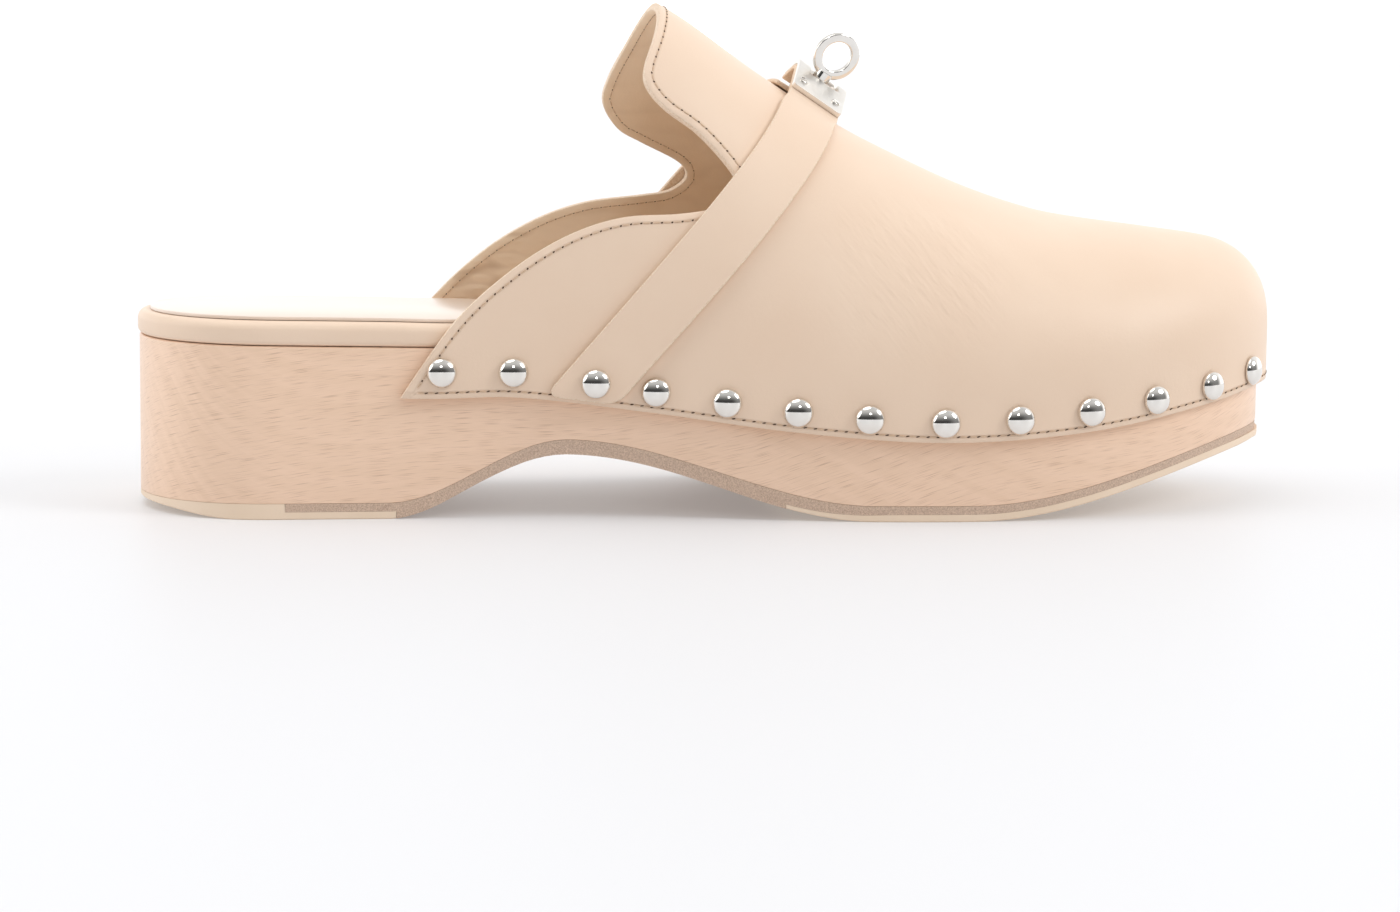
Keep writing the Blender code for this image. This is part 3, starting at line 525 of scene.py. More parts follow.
def outsole_thickness(x):
    """The outsole is skived thin where it begins behind the ball of the foot."""
    return mix(OUTSOLE_START, INLAY_THICKNESS, smoothstep((x - FOREFOOT_BACK) / OUTSOLE_TAPER))


def runner_under(x):
    if x < LIFT_FRONT + BUTT_LATE:
        return ground(x) + INLAY_THICKNESS + SEAM
    if x > FOREFOOT_BACK - BUTT_LATE:
        return ground(x) + outsole_thickness(x) + SEAM
    return ground(x) + (curve(SANDED_ARCH, 1, x) if x < SANDED_ARCH[-1][0] else 0.0)


def runner_out(s):
    """The runner's edge is torn back unevenly round the toe."""
    uneven = 1.0 + TEAR_WAVE * math.sin(s * 190.0) * math.sin(s * 71.0)
    return -RUNNER_TOE_CUT * uneven * smoothstep((s - 2.8) / 0.14)


def lift_under(x):
    return HEEL_BEVEL * (1.0 - smoothstep((x - HEEL_BACK) / HEEL_BEVEL_LENGTH)) + ground(x)


def lift_top(x):
    return ground(x) + (SOLE_THICKNESS if x < LIFT_FULL_FRONT + BUTT_EARLY else INLAY_THICKNESS)


def toe_lip(s):
    """The outsole's edge at the toe is trimmed by hand, so it stands out unevenly."""
    uneven = TRIM_WAVE * math.sin(s * 61.0) * math.sin(s * 23.0)
    return (TOE_LIP + uneven) * smoothstep((s - 2.5) / 0.4)


def mottled(name, tones, cloud, detail, looks, relief=None):
    """A finish that drifts between two tones in clouds; relief gives a fine bump's size and strength."""
    made, tree, shader = new_material(name)
    at = add_node(tree, "ShaderNodeTexCoord").outputs["Object"]
    clouds = add_node(
        tree, "ShaderNodeTexNoise", {"Vector": at, "Scale": 1 / (cloud * MM), "Detail": detail}
    )
    colour = add_node(
        tree,
        "ShaderNodeMix",
        {"Factor": clouds.outputs["Fac"], "A": linear(tones[0]), "B": linear(tones[1])},
        data_type="RGBA",
    )
    plug(tree, shader, {"Base Color": colour.outputs[2], **looks})
    if relief:
        fine = add_node(tree, "ShaderNodeTexNoise", {"Vector": at, "Scale": 1 / (relief[0] * MM)})
        bump = add_node(
            tree,
            "ShaderNodeBump",
            {"Height": fine.outputs["Fac"], "Strength": relief[1], "Distance": 0.2 * MM},
        )
        plug(tree, shader, {"Normal": bump.outputs["Normal"]})
    return made


step_places = [x + step for x in (LIFT_FULL_FRONT, LIFT_FRONT) for step in BUTT_STEPS]
step_places += [FOREFOOT_BACK - step for step in BUTT_STEPS]
sheet_stations = sorted(set(stations) | {station(x) for x in step_places})

# Sheet rubber with cork and fibre ground in, sanded at the edge: dull, with specks half a millimetre across.
taupe, taupe_tree, taupe_shader = new_material("speckled_taupe_rubber")
taupe_at = add_node(taupe_tree, "ShaderNodeTexCoord").outputs["Object"]
taupe_grit = add_node(
    taupe_tree,
    "ShaderNodeTexNoise",
    {"Vector": taupe_at, "Scale": 1 / (GRIT * MM), "Detail": 3.0, "Roughness": 0.7},
)
taupe_share = add_node(
    taupe_tree,
    "ShaderNodeMapRange",
    {"Value": taupe_grit.outputs["Fac"], "From Min": 0.35, "From Max": 0.68},
)
taupe_colour = add_node(
    taupe_tree,
    "ShaderNodeMix",
    {"Factor": taupe_share.outputs["Result"], "A": linear(TAUPE_DARK), "B": linear(TAUPE_PALE)},
    data_type="RGBA",
)
taupe_bump = add_node(
    taupe_tree,
    "ShaderNodeBump",
    {"Height": taupe_grit.outputs["Fac"], "Strength": 0.3, "Distance": 0.2 * MM},
)
taupe_looks = {
    "Base Color": taupe_colour.outputs[2],
    "Normal": taupe_bump.outputs["Normal"],
    "Roughness": 0.75,
}
plug(taupe_tree, taupe_shader, taupe_looks)

# Smooth natural rubber, cut with a knife: even beige with soft cloudy tone and faint scuffs.
beige_tones = (BEIGE_RUBBER, BEIGE_RUBBER_SHADE)
beige = mottled("beige_rubber", beige_tones, BEIGE_CLOUD, 4.0, {"Roughness": 0.6}, (BEIGE_SCUFF, 0.12))

RUNNER_BACK = LIFT_FULL_FRONT + BUTT_STEPS[-1]
runner_stations = [s for s in sheet_stations if s > station(RUNNER_BACK) - 1e-6]
runner_rings = (
    (runner_out, runner_under),
    (lambda s: RUNNER_TOP_CUT * runner_out(s), raised(ground, SOLE_THICKNESS)),
)
runner = make_piece(slab(runner_stations, runner_rings), "taupe_runner", [taupe])
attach(runner, "shoe")
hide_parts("runner")

lift_stations = [s for s in sheet_stations if s < station(LIFT_FRONT) + 1e-6]
lift_rings = (
    (inset_by(RUBBER_EDGE), lift_under),
    (inset_by(0.0), raised(lift_under, RUBBER_EDGE)),
    (inset_by(0.0), lift_top),
)
lift = make_piece(slab(lift_stations, lift_rings), "beige_heel_lift", [beige])
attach(lift, "shoe")
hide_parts("heel_lift")

outsole_stations = [s for s in sheet_stations if s > station(FOREFOOT_BACK) - 1e-6]
outsole_rings = (
    (lambda s: toe_lip(s) - RUBBER_EDGE, ground),
    (toe_lip, raised(ground, RUBBER_EDGE)),
    (toe_lip, lambda x: ground(x) + outsole_thickness(x)),
)
outsole = make_piece(slab(outsole_stations, outsole_rings), "beige_forefoot_outsole", [beige])
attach(outsole, "shoe")
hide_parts("forefoot_outsole")

# Wrapped insole board: fibre board covered in the upper's own leather, which is pulled round the edge and
# tucked under. It lies on the wood, stands a little proud of it round the heel, and runs inside the upper
# in front.
BOARD_HEEL_THICKNESS, BOARD_FRONT_THICKNESS = 5.0, 3.6
BOARD_THINS_FROM, BOARD_THINS_TO = -80.0, -10.0
BOARD_PROUD_AT_HEEL, BOARD_INSET_IN_FRONT = 0.35, 1.9
BOARD_FADE_BACK, BOARD_FADE_FRONT = -66.0, -42.0
BOARD_ROUND_LOW, BOARD_LOW_STEPS, BOARD_ROUND_TOP, BOARD_TOP_STEPS = 1.3, 6, 2.0, 8
# The third leather colour is painted shade, laid along the stitch grooves.
LEATHER_PALE, LEATHER_MID, LEATHER_PAINTED_SHADE = "F3DBC4", "EBCFB6", "DDBD9F"
LEATHER_CLOUD, GRAIN, FINE_PER_GRAIN = 26.32, 0.8, 2.6
FLEX_X, FLEX_Y, FLEX_Z, FLEX_TURN, FLEX_NEAR, FLEX_REACH = 38.0, 38.0, 53.0, -38.0, 10.0, 27.0
FLEX_SIZE = (1.5, 5.0, 7.0)
STITCH_FROM_RIM, STITCH_FROM_HEM, STITCH_GROOVE, GROOVE_PAINTED_SHADE = 1.65, 1.15, 0.5, 0.14


def board_top(x):
    front = smoothstep((x - BOARD_THINS_FROM) / (BOARD_THINS_TO - BOARD_THINS_FROM))
    return wood_top(x) + GAP + mix(BOARD_HEEL_THICKNESS, BOARD_FRONT_THICKNESS, front)


def board_out(x):
    """How far the wrapped board stands out from the wood: proud at the heel, set in under the upper."""
    front = smoothstep((x - BOARD_FADE_BACK) / (BOARD_FADE_FRONT - BOARD_FADE_BACK))
    return mix(BOARD_PROUD_AT_HEEL, -BOARD_INSET_IN_FRONT, front)


def from_board(inset):
    """An offset that follows the board's own edge."""
    return lambda s: board_out(outline(LATERAL, s).x) - inset


def leather(name, worked):
    """Smooth calf: fine pebbled grain and cloudy tone; worked adds the flex folds, and the stitch grooves
    with painted shade.
    """
    made, tree, shader = new_material(name)
    at = add_node(tree, "ShaderNodeTexCoord").outputs["Object"]
    cloud = add_node(
        tree,
        "ShaderNodeTexNoise",
        {"Vector": at, "Scale": 1 / (LEATHER_CLOUD * MM), "Detail": 3.0, "Roughness": 0.55},
    )
    tone = add_node(
        tree,
        "ShaderNodeMix",
        {"Factor": cloud.outputs["Fac"], "A": linear(LEATHER_PALE), "B": linear(LEATHER_MID)},
        data_type="RGBA",
    )
    # The pebbles of real calf are smaller, and these are as coarse as they need to show.
    pebble = add_node(
        tree, "ShaderNodeTexVoronoi", {"Vector": at, "Scale": 1 / (GRAIN * MM)}, feature="SMOOTH_F1"
    )
    fine = add_node(tree, "ShaderNodeTexNoise", {"Vector": at, "Scale": FINE_PER_GRAIN / (GRAIN * MM)})
    height = add_node(
        tree,
        "ShaderNodeMath",
        {0: pebble.outputs["Distance"], 1: 0.7, 2: fine.outputs["Fac"]},
        operation="MULTIPLY_ADD",
    )
    grain = add_node(
        tree, "ShaderNodeBump", {"Height": height.outputs["Value"], "Strength": 0.22, "Distance": 0.12 * MM}
    )
    colour, normal = tone.outputs[2], grain.outputs["Normal"]
    for side in (LATERAL, MEDIAL) if worked else ():
        middle = [v * MM for v in (FLEX_X, side * FLEX_Y, FLEX_Z)]
        flex_place = {
            "Vector": at,
            "Location": middle,
            "Rotation": (0.0, math.radians(FLEX_TURN), 0.0),
            "Scale": [v * MM for v in FLEX_SIZE],
        }
        flex_space = add_node(tree, "ShaderNodeMapping", flex_place, vector_type="TEXTURE")
        folds = add_node(tree, "ShaderNodeTexNoise", {"Vector": flex_space.outputs["Vector"], "Scale": 1.0})
        away = add_node(tree, "ShaderNodeVectorMath", {0: at, 1: middle}, operation="DISTANCE")
        fading = {
            "Value": away.outputs["Value"],
            "From Min": FLEX_NEAR * MM,
            "From Max": FLEX_REACH * MM,
            "To Min": 1.0,
            "To Max": 0.0,
        }
        near = add_node(tree, "ShaderNodeMapRange", fading, interpolation_type="SMOOTHSTEP")
        fold_height = add_node(
            tree, "ShaderNodeMath", {0: folds.outputs["Fac"], 1: near.outputs["Result"]}, operation="MULTIPLY"
        )
        fold_bump = add_node(
            tree,
            "ShaderNodeBump",
            {"Height": fold_height.outputs["Value"], "Strength": 0.5, "Distance": 0.6 * MM, "Normal": normal},
        )
        normal = fold_bump.outputs["Normal"]
    rows = (("rim_mm", STITCH_FROM_RIM), ("hem_mm", STITCH_FROM_HEM)) if worked else ()
    for attribute, centre in rows:
        distance = add_node(tree, "ShaderNodeAttribute", attribute_name=attribute).outputs["Fac"]
        far = add_node(tree, "ShaderNodeMath", {0: distance, 1: centre}, operation="SUBTRACT")
        apart = add_node(tree, "ShaderNodeMath", {0: far.outputs["Value"]}, operation="ABSOLUTE")
        dent = add_node(
            tree,
            "ShaderNodeMapRange",
            {"Value": apart.outputs["Value"], "From Max": STITCH_GROOVE},
            interpolation_type="SMOOTHSTEP",
        )
        bump = add_node(
            tree,
            "ShaderNodeBump",
            {"Height": dent.outputs["Result"], "Strength": 0.4, "Distance": 0.3 * MM, "Normal": normal},
        )
        normal = bump.outputs["Normal"]
        # Painted shade: the colour darkens towards the middle of each stitch groove.
        shade = add_node(
            tree,
            "ShaderNodeMapRange",
            {
                "Value": apart.outputs["Value"],
                "From Max": STITCH_GROOVE,
                "To Min": GROOVE_PAINTED_SHADE,
                "To Max": 0.0,
            },
        )
        darker = add_node(
            tree,
            "ShaderNodeMix",
            {"Factor": shade.outputs["Result"], "A": colour, "B": linear(LEATHER_PAINTED_SHADE)},
            data_type="RGBA",
        )
        colour = darker.outputs[2]
    looks = {"Base Color": colour, "Normal": normal, "Roughness": 0.44, "Specular IOR Level": 0.45}
    plug(tree, shader, looks)
    return made


board_leather = leather("smooth_calf_on_board", False)
board_low = raised(wood_top, GAP / 2)
board_rings = []
for k in range(BOARD_LOW_STEPS + 1):
    angle = math.pi / 2 * k / BOARD_LOW_STEPS
    inset, lift_up = BOARD_ROUND_LOW * (1 - math.sin(angle)), BOARD_ROUND_LOW * (1 - math.cos(angle))
    board_rings.append((from_board(inset), raised(board_low, lift_up)))
for k in range(BOARD_TOP_STEPS + 1):
    angle = math.pi / 2 * k / BOARD_TOP_STEPS
    inset, drop = BOARD_ROUND_TOP * (1 - math.cos(angle)), BOARD_ROUND_TOP * (1 - math.sin(angle))
    board_rings.append((from_board(inset), raised(board_top, -drop)))
board = make_piece(slab(stations, board_rings), "wrapped_board", [board_leather], sharp=60.0)
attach(board, "shoe")
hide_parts("footbed")

# Insole sock: thin leather with a glossed finish, die-cut and glued on the board a few millimetres inside
# its edge. Its face is plain.
SOCK_THICKNESS, SOCK_INSET = 0.7, 2.7
SOCK_EDGE = (
    # further inset, drop below the sock's face
    (0.0, 0.3),
    (0.12, 0.08),
    (0.4, 0.0),
)
SOCK_PALE, SOCK_WARM, SOCK_CLOUD, SOCK_FINE = "ECDCCD", "E4CDB9", 33.33, 1.111

# Glossed leather: rolled smooth under heat, so it shines a little over a soft cloudy tone.
sock_looks = {"Roughness": 0.28, "Coat Weight": 0.25, "Coat Roughness": 0.2}
sock_tones = (SOCK_PALE, SOCK_WARM)
sock_finish = mottled("glossed_sock_leather", sock_tones, SOCK_CLOUD, 4.0, sock_looks, (SOCK_FINE, 0.06))

sock_low = raised(board_top, GAP / 2)
sock_rings = [(from_board(SOCK_INSET), sock_low)]
for further, drop in SOCK_EDGE:
    sock_rings.append((from_board(SOCK_INSET + further), raised(sock_low, SOCK_THICKNESS - drop)))
sock = make_piece(slab(stations, sock_rings), "insole_sock_sheet", [sock_finish])
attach(sock, "shoe")
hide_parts("insole_sock")

# Upper: vamp, quarters and tongue cut from one calf hide with a tan lining, lasted over the foot's shape
# and nailed to the wood. The edge is cut square through leather and lining, left raw, and sewn through a
# little way in.
WALL = 1.8
UPPER_BACK = -80.0
FAN_START, FAN_RIDGE_END, FAN_TIP_SPACING = 30.0, 112.0, 0.3
RIDGE = (
    # x, ridge height, lateral fullness, medial fullness, ridge y
    (-80.0, 126.0, 2.30, 2.30, 2.0),
    (-40.0, 121.0, 2.30, 2.30, 3.0),
    (-13.0, 110.1, 2.25, 2.35, 4.0),
    (10.0, 94.7, 2.10, 2.45, 6.0),
    (28.0, 83.6, 2.10, 2.50, 6.0),
    (42.0, 76.6, 2.15, 2.50, 6.0),
    (54.0, 71.2, 2.20, 2.45, 5.5),
    (66.0, 66.9, 2.25, 2.45, 5.0),
    (78.0, 63.8, 2.35, 2.50, 4.5),
    (100.0, 60.8, 2.70, 2.70, 3.5),
    (112.0, 59.2, 3.00, 3.00, 3.0),
    (128.0, 56.0, 3.00, 3.00, 3.0),
)
COLLAR = (
    # lateral x, lateral z, medial x, medial z, from the back of the quarter round the notch to the tongue
    (-75.0, 22.5, -75.0, 22.5),
    (-62.0, 41.3, -62.0, 41.0),
    (-50.0, 52.7, -50.0, 52.6),
    (-38.0, 60.4, -38.0, 60.2),
    (-26.0, 64.6, -26.0, 64.5),
    (-13.0, 65.6, -13.0, 66.1),
    (-5.0, 67.2, -6.0, 67.2),
    (-0.6, 71.0, -1.8, 70.5),
    (-1.6, 75.0, -3.8, 74.2),
    (-8.0, 82.5, -13.0, 78.8),
    (-15.6, 88.4, -18.7, 82.0),
    (-19.2, 93.5, -22.3, 87.5),
    (-18.9, 98.0, -21.4, 93.0),
    (-15.8, 104.5, -17.5, 101.5),
    (-12.2, 112.0, -12.8, 112.0),
)
COLLAR_STEPS, COLLAR_BLEND = 8, 30.0
NOTCH_FRONT, OPEN_BACK, OPEN_LOW, OPEN_HIGH = 1.0, -120.0, 5.0, 150.0
RIB_STEP, TOE_RIBS, HEM_ROWS, ARCH_ROWS, ROW_CROWDING = 1.25, 74, 6, 76, 1.25
UPPER_WELD, UPPER_SLIVER, FAR_FROM_EDGE = 0.01, 0.002, 20.0
RIM_SMOOTHINGS, RIM_HALVINGS, RIM_TRIES, RIM_REACH = 6, 30, 3, 0.02
CREASE_FADE_FROM, CREASE_FADE, CREASE_REACH, WELT_HEIGHT, WELT_PLACE = 0.15, 0.35, 2.2, 0.45, 1.1
RIM_PROFILE = (
    # share of the thickness, how far the cut edge swells
    (0.03, 0.05),
    (0.10, 0.09),
    (0.25, 0.12),
    (0.50, 0.13),
    (0.75, 0.12),
    (0.90, 0.09),
    (0.97, 0.05),
)
# The deepest lining colour is painted shade for the wrinkles' hollows.
LINING_PALE, LINING_TAN, LINING_WRINKLE_SHADE = "FCE7CD", "F3D8B8", "B48D66"
LINING_CLOUD, LINING_NAP = 16.67, 0.909
WRINKLE_SIZE, WRINKLE_TURN = (5.2, 6.0, 1.9), 0.12
WRINKLES_BEGIN, WRINKLES_FULL, WRINKLES_LEAST = -28.0, -52.0, 0.12
WRINKLE_CREST, WRINKLE_FLOOR, WRINKLE_SHADE_MOST = 0.45, 0.85, 0.75
EDGE_PALE, EDGE_TAN, EDGE_FIBRE = "F1DEC9", "DDBF9F", 0.4167


def fan(s):
    """Where the rib from outline place s ends on the ridge, as a share of the ridge's fanned stretch."""
    start = station(FAN_START)
    u = (s - start) / (3.0 - start)
    entry = (TOE_SIDE - HEEL_SIDE) * (3.0 - start) / (FAN_RIDGE_END - FAN_START)
    return smoothstep(u) + entry * (u**3 - 2 * u**2 + u) + FAN_TIP_SPACING * (u**3 - u**2)


def hem_height(x):
    return nail_line(x) - curve(NAIL_LINE, 2, x)


def upper_face(side, s, angle):
    """A point of the outer face: angle -1 is the lower edge, 0 the wood's top, a right angle the ridge."""
    foot = plan(side, s, GAP + WALL)
    ridge_x = foot.x
    if s > station(FAN_START):
        start = plan(side, station(FAN_START), GAP + WALL).x
        ridge_x = mix(start, FAN_RIDGE_END, fan(s))
    ridge = Vector((ridge_x, curve(RIDGE, 4, ridge_x)))
    fullness = curve(RIDGE, 2 if side == LATERAL else 3, ridge_x)
    out, up = round_pair(max(angle, 0.0), fullness)
    flat = ridge + (foot - ridge) * out
    shoulder, hem = wood_top(foot.x), hem_height(foot.x)
    z = shoulder + min(angle, 0.0) * (shoulder - hem) + (curve(RIDGE, 1, flat.x) - shoulder) * up
    over_rim = max(board_out(foot.x), 0.0) * min((z - hem) / (shoulder - hem), 1.0)
    flat += plan_normal(side, s) * over_rim
    return Vector((flat.x, flat.y, z))


def upper_normal(side, s, angle):
    d_angle, d_s = 0.01, 0.004
    higher = upper_face(side, s, min(angle + d_angle, math.pi / 2))
    up = higher - upper_face(side, s, max(angle - d_angle, -1.0))
    along = upper_face(side, min(s + d_s, 3.0), angle) - upper_face(side, s - d_s, angle)
    return (along.cross(up) * -side).normalized()


def smooth_line(points, steps):
    """A smooth line of points through a list of points."""
    line = []
    for k in range(len(points) - 1):
        a, b = points[max(k - 1, 0)], points[k]
        c, d = points[k + 1], points[min(k + 2, len(points) - 1)]
        for i in range(steps):
            u = i / steps
            bend = (c - a) * 0.5 * (u**3 - 2 * u**2 + u) + (d - b) * 0.5 * (u**3 - u**2)
            line.append(b + (c - b) * smoothstep(u) + bend)
    return line + [points[-1]]


collar_lines = [smooth_line([Vector((row[c], row[c + 1])) for row in COLLAR], COLLAR_STEPS) for c in (0, 2)]


def collar_at(y):
    """The collar line in x and z at a place across the shoe: lateral, medial, or between the two."""
    share = min(max((y + COLLAR_BLEND) / (2 * COLLAR_BLEND), 0.0), 1.0)
    if share in (0.0, 1.0):
        return collar_lines[int(share)]
    return [a.lerp(b, share) for a, b in zip(*collar_lines)]


def cut_away(point):
    """Whether a point is in the space behind and above the collar line, where there is no leather."""
    x, z = point.x, point.z
    if x > NOTCH_FRONT:
        return False
    line = list(collar_at(point.y))
    line += [Vector((line[-1].x, OPEN_HIGH)), Vector((OPEN_BACK, OPEN_HIGH))]
    line += [Vector((OPEN_BACK, OPEN_LOW)), Vector((line[0].x, OPEN_LOW))]
    inside = False
    for a, b in zip(line, line[1:] + line[:1]):
        if (a.y > z) != (b.y > z) and x < a.x + (b.x - a.x) * (z - a.y) / (b.y - a.y):
            inside = not inside
    return inside


def place_on_upper(side, s, angle, x, z):
    """Finds the rib place and angle where the upper's face has a given x and z, starting close to it."""
    step, close_enough, near_ridge = 0.0005, 1e-4, 1.5
    longest_s, longest_angle = 0.02, 0.08
    for _ in range(12):
        here = upper_face(side, s, angle)
        by_s = (upper_face(side, s + step, angle) - here) / step
        turn = step if angle < near_ridge else -step
        by_angle = (upper_face(side, s, angle + turn) - here) / turn
        miss_x, miss_z = x - here.x, z - here.z
        area = by_s.x * by_angle.z - by_s.z * by_angle.x
        if abs(area) < 1e-6 or abs(miss_x) + abs(miss_z) < close_enough:
            break
        s += max(-longest_s, min(longest_s, (miss_x * by_angle.z - miss_z * by_angle.x) / area))
        angle += max(-longest_angle, min(longest_angle, (miss_z * by_s.x - miss_x * by_s.z) / area))
        angle = min(max(angle, -1.0), math.pi / 2)
    return s, angle


def nearest_share(line, x, z):
    """The place on a line of points, counted in points, that is nearest to x and z."""
    best, found = 1e9, 0.0
    for k in range(len(line) - 1):
        run = line[k + 1] - line[k]
        here = Vector((x, z)) - line[k]
        u = min(max(here.dot(run) / max(run.length_squared, 1e-9), 0.0), 1.0)
        gone = (here - run * u).length
        if gone < best:
            best, found = gone, k + u
    return found


def on_line(line, share):
    k = min(max(int(share), 0), len(line) - 2)
    return line[k].lerp(line[k + 1], share - k)


# Outer face: a fine grid of ribs and rows on each side, without what lies behind the collar line.
rib_count = round((TOE_SIDE - UPPER_BACK) / RIB_STEP)
ribs = [mix(station(UPPER_BACK), 2.0, k / rib_count) for k in range(rib_count)]
ribs += [2.0 + k / TOE_RIBS for k in range(TOE_RIBS + 1)]
rows = [-1.0 + k / HEM_ROWS for k in range(HEM_ROWS)]
rows += [math.pi / 2 * (k / ARCH_ROWS) ** ROW_CROWDING for k in range(ARCH_ROWS + 1)]
upper_bm = bmesh.new()
rim_layer = upper_bm.verts.layers.float.new("rim_mm")
hem_layer = upper_bm.verts.layers.float.new("hem_mm")
spot = {}
for side in (LATERAL, MEDIAL):
    grid = bmesh.ops.create_grid(upper_bm, x_segments=len(ribs) - 1, y_segments=len(rows) - 1, size=0.5)
    for vert in grid["verts"]:
        s = ribs[round((vert.co.x + 0.5) * (len(ribs) - 1))]
        angle = rows[round((vert.co.y + 0.5) * (len(rows) - 1))]
        vert.co = upper_face(side, s, angle)
        spot[vert] = (side, s, angle)
seam = {}
for vert, (side, s, angle) in spot.items():
    if angle > math.pi / 2 - 1e-6 or s > 3.0 - 1e-6:
        seam.setdefault((s, angle), []).append(vert)
bmesh.ops.weld_verts(upper_bm, targetmap={pair[0]: pair[1] for pair in seam.values() if len(pair) == 2})
behind = [face for face in upper_bm.faces if cut_away(face.calc_center_median())]
bmesh.ops.delete(upper_bm, geom=behind, context="FACES")
bmesh.ops.remove_doubles(upper_bm, verts=upper_bm.verts, dist=UPPER_WELD)
bmesh.ops.dissolve_degenerate(upper_bm, dist=UPPER_SLIVER, edges=upper_bm.edges)
spot = {vert: spot[vert] for vert in upper_bm.verts}

# The stepped edge that is left moves onto the collar line, evenly spaced along it.
rim_edges = [e for e in upper_bm.edges if e.is_boundary and not all(spot[v][2] <= -0.999 for v in e.verts)]
rim_next = {}
for edge in rim_edges:
    for vert in edge.verts:
        rim_next.setdefault(vert, []).append(edge.other_vert(vert))
rim_end = next(v for v, others in rim_next.items() if len(others) == 1 and spot[v][0] == LATERAL)
rim_chain, came = [rim_end], None
while len(rim_chain) == 1 or len(rim_next[rim_chain[-1]]) == 2:
    onward = [v for v in rim_next[rim_chain[-1]] if v is not came]
    came = rim_chain[-1]
    rim_chain.append(onward[0])
rim_share = [nearest_share(collar_at(v.co.y), v.co.x, v.co.z) for v in rim_chain]
ridge_at = max(range(len(rim_chain)), key=lambda k: spot[rim_chain[k]][2])
for _ in range(RIM_SMOOTHINGS):
    smoother = list(rim_share)
    for k in range(1, len(rim_chain) - 1):
        if k != ridge_at:
            smoother[k] = (rim_share[k - 1] + 2 * rim_share[k] + rim_share[k + 1]) / 4
    rim_share = smoother
for k, vert in enumerate(rim_chain):
    side, s, angle = spot[vert]
    if angle >= math.pi / 2 - 1e-6 or angle <= -0.999:
        low, high = s - RIM_REACH, s + RIM_REACH
        for _ in range(RIM_HALVINGS):
            s = (low + high) / 2
            if cut_away(upper_face(side, s, angle)):
                low = s
            else:
                high = s
    else:
        for _ in range(RIM_TRIES):
            aim = on_line(collar_at(upper_face(side, s, angle).y), rim_share[k])
            s, angle = place_on_upper(side, s, angle, aim.x, aim.y)
    spot[vert] = (side, s, angle)
    vert.co = upper_face(side, s, angle)

# Soft creases in the vamp, in front of the strap and at its flex line.
CREASES = (
    # x, y and z of the two ends, half width, depth
    ((26.0, -33.0, 62.0), (40.0, -42.0, 44.0), 3.2, 0.22),
    ((33.0, -29.0, 66.0), (50.0, -40.5, 46.0), 3.6, 0.24),
    ((42.0, -28.0, 64.0), (60.0, -40.0, 46.0), 4.0, 0.22),
    ((52.0, -27.0, 61.0), (70.0, -38.0, 47.0), 4.4, 0.18),
    ((20.0, -22.0, 76.0), (27.0, -29.0, 68.0), 2.2, 0.25),
    ((24.0, -20.0, 75.0), (32.0, -27.0, 68.0), 2.0, 0.20),
    ((34.0, 30.0, 66.0), (52.0, 42.0, 46.0), 4.0, 0.22),
    ((46.0, 29.0, 63.0), (64.0, 41.0, 46.0), 4.2, 0.20),
)


def crease_depth(point):
    """How far a point of the leather sinks into the soft creases."""
    depth = 0.0
    for start, end, half_width, deepest in CREASES:
        a, b = Vector(start), Vector(end)
        run = b - a
        u = (point - a).dot(run) / run.length_squared
        fade_in = smoothstep((u + CREASE_FADE_FROM) / CREASE_FADE)
        fade = fade_in * smoothstep((1.0 + CREASE_FADE_FROM - u) / CREASE_FADE)
        away = (point - a - run * min(max(u, 0.0), 1.0)).length / half_width
        if away < CREASE_REACH:
            welt = WELT_HEIGHT * math.exp(-2.0 * (away - WELT_PLACE) ** 2)
            depth += deepest * fade * (math.exp(-2.0 * away * away) - welt)
    return depth


normal_of = {}
for vert in upper_bm.verts:
    normal_of[vert] = upper_normal(*spot[vert])
    vert.co -= normal_of[vert] * crease_depth(vert.co)

# Distances that the stitch rows follow: to the cut edge, and up from the lower edge.
rim_tree = kdtree.KDTree(len(rim_chain))
for k, vert in enumerate(rim_chain):
    rim_tree.insert(vert.co, k)
rim_tree.balance()
rim_points = [v.co.copy() for v in rim_chain]
for vert in upper_bm.verts:
    _, k, gone = rim_tree.find(vert.co)
    for j in (k - 1, k):
        if 0 <= j < len(rim_points) - 1:
            run = rim_points[j + 1] - rim_points[j]
            u = min(max((vert.co - rim_points[j]).dot(run) / max(run.length_squared, 1e-9), 0.0), 1.0)
            gone = min(gone, (vert.co - rim_points[j] - run * u).length)
    vert[rim_layer] = min(gone, FAR_FROM_EDGE)
    vert[hem_layer] = min(vert.co.z - hem_height(vert.co.x), FAR_FROM_EDGE)


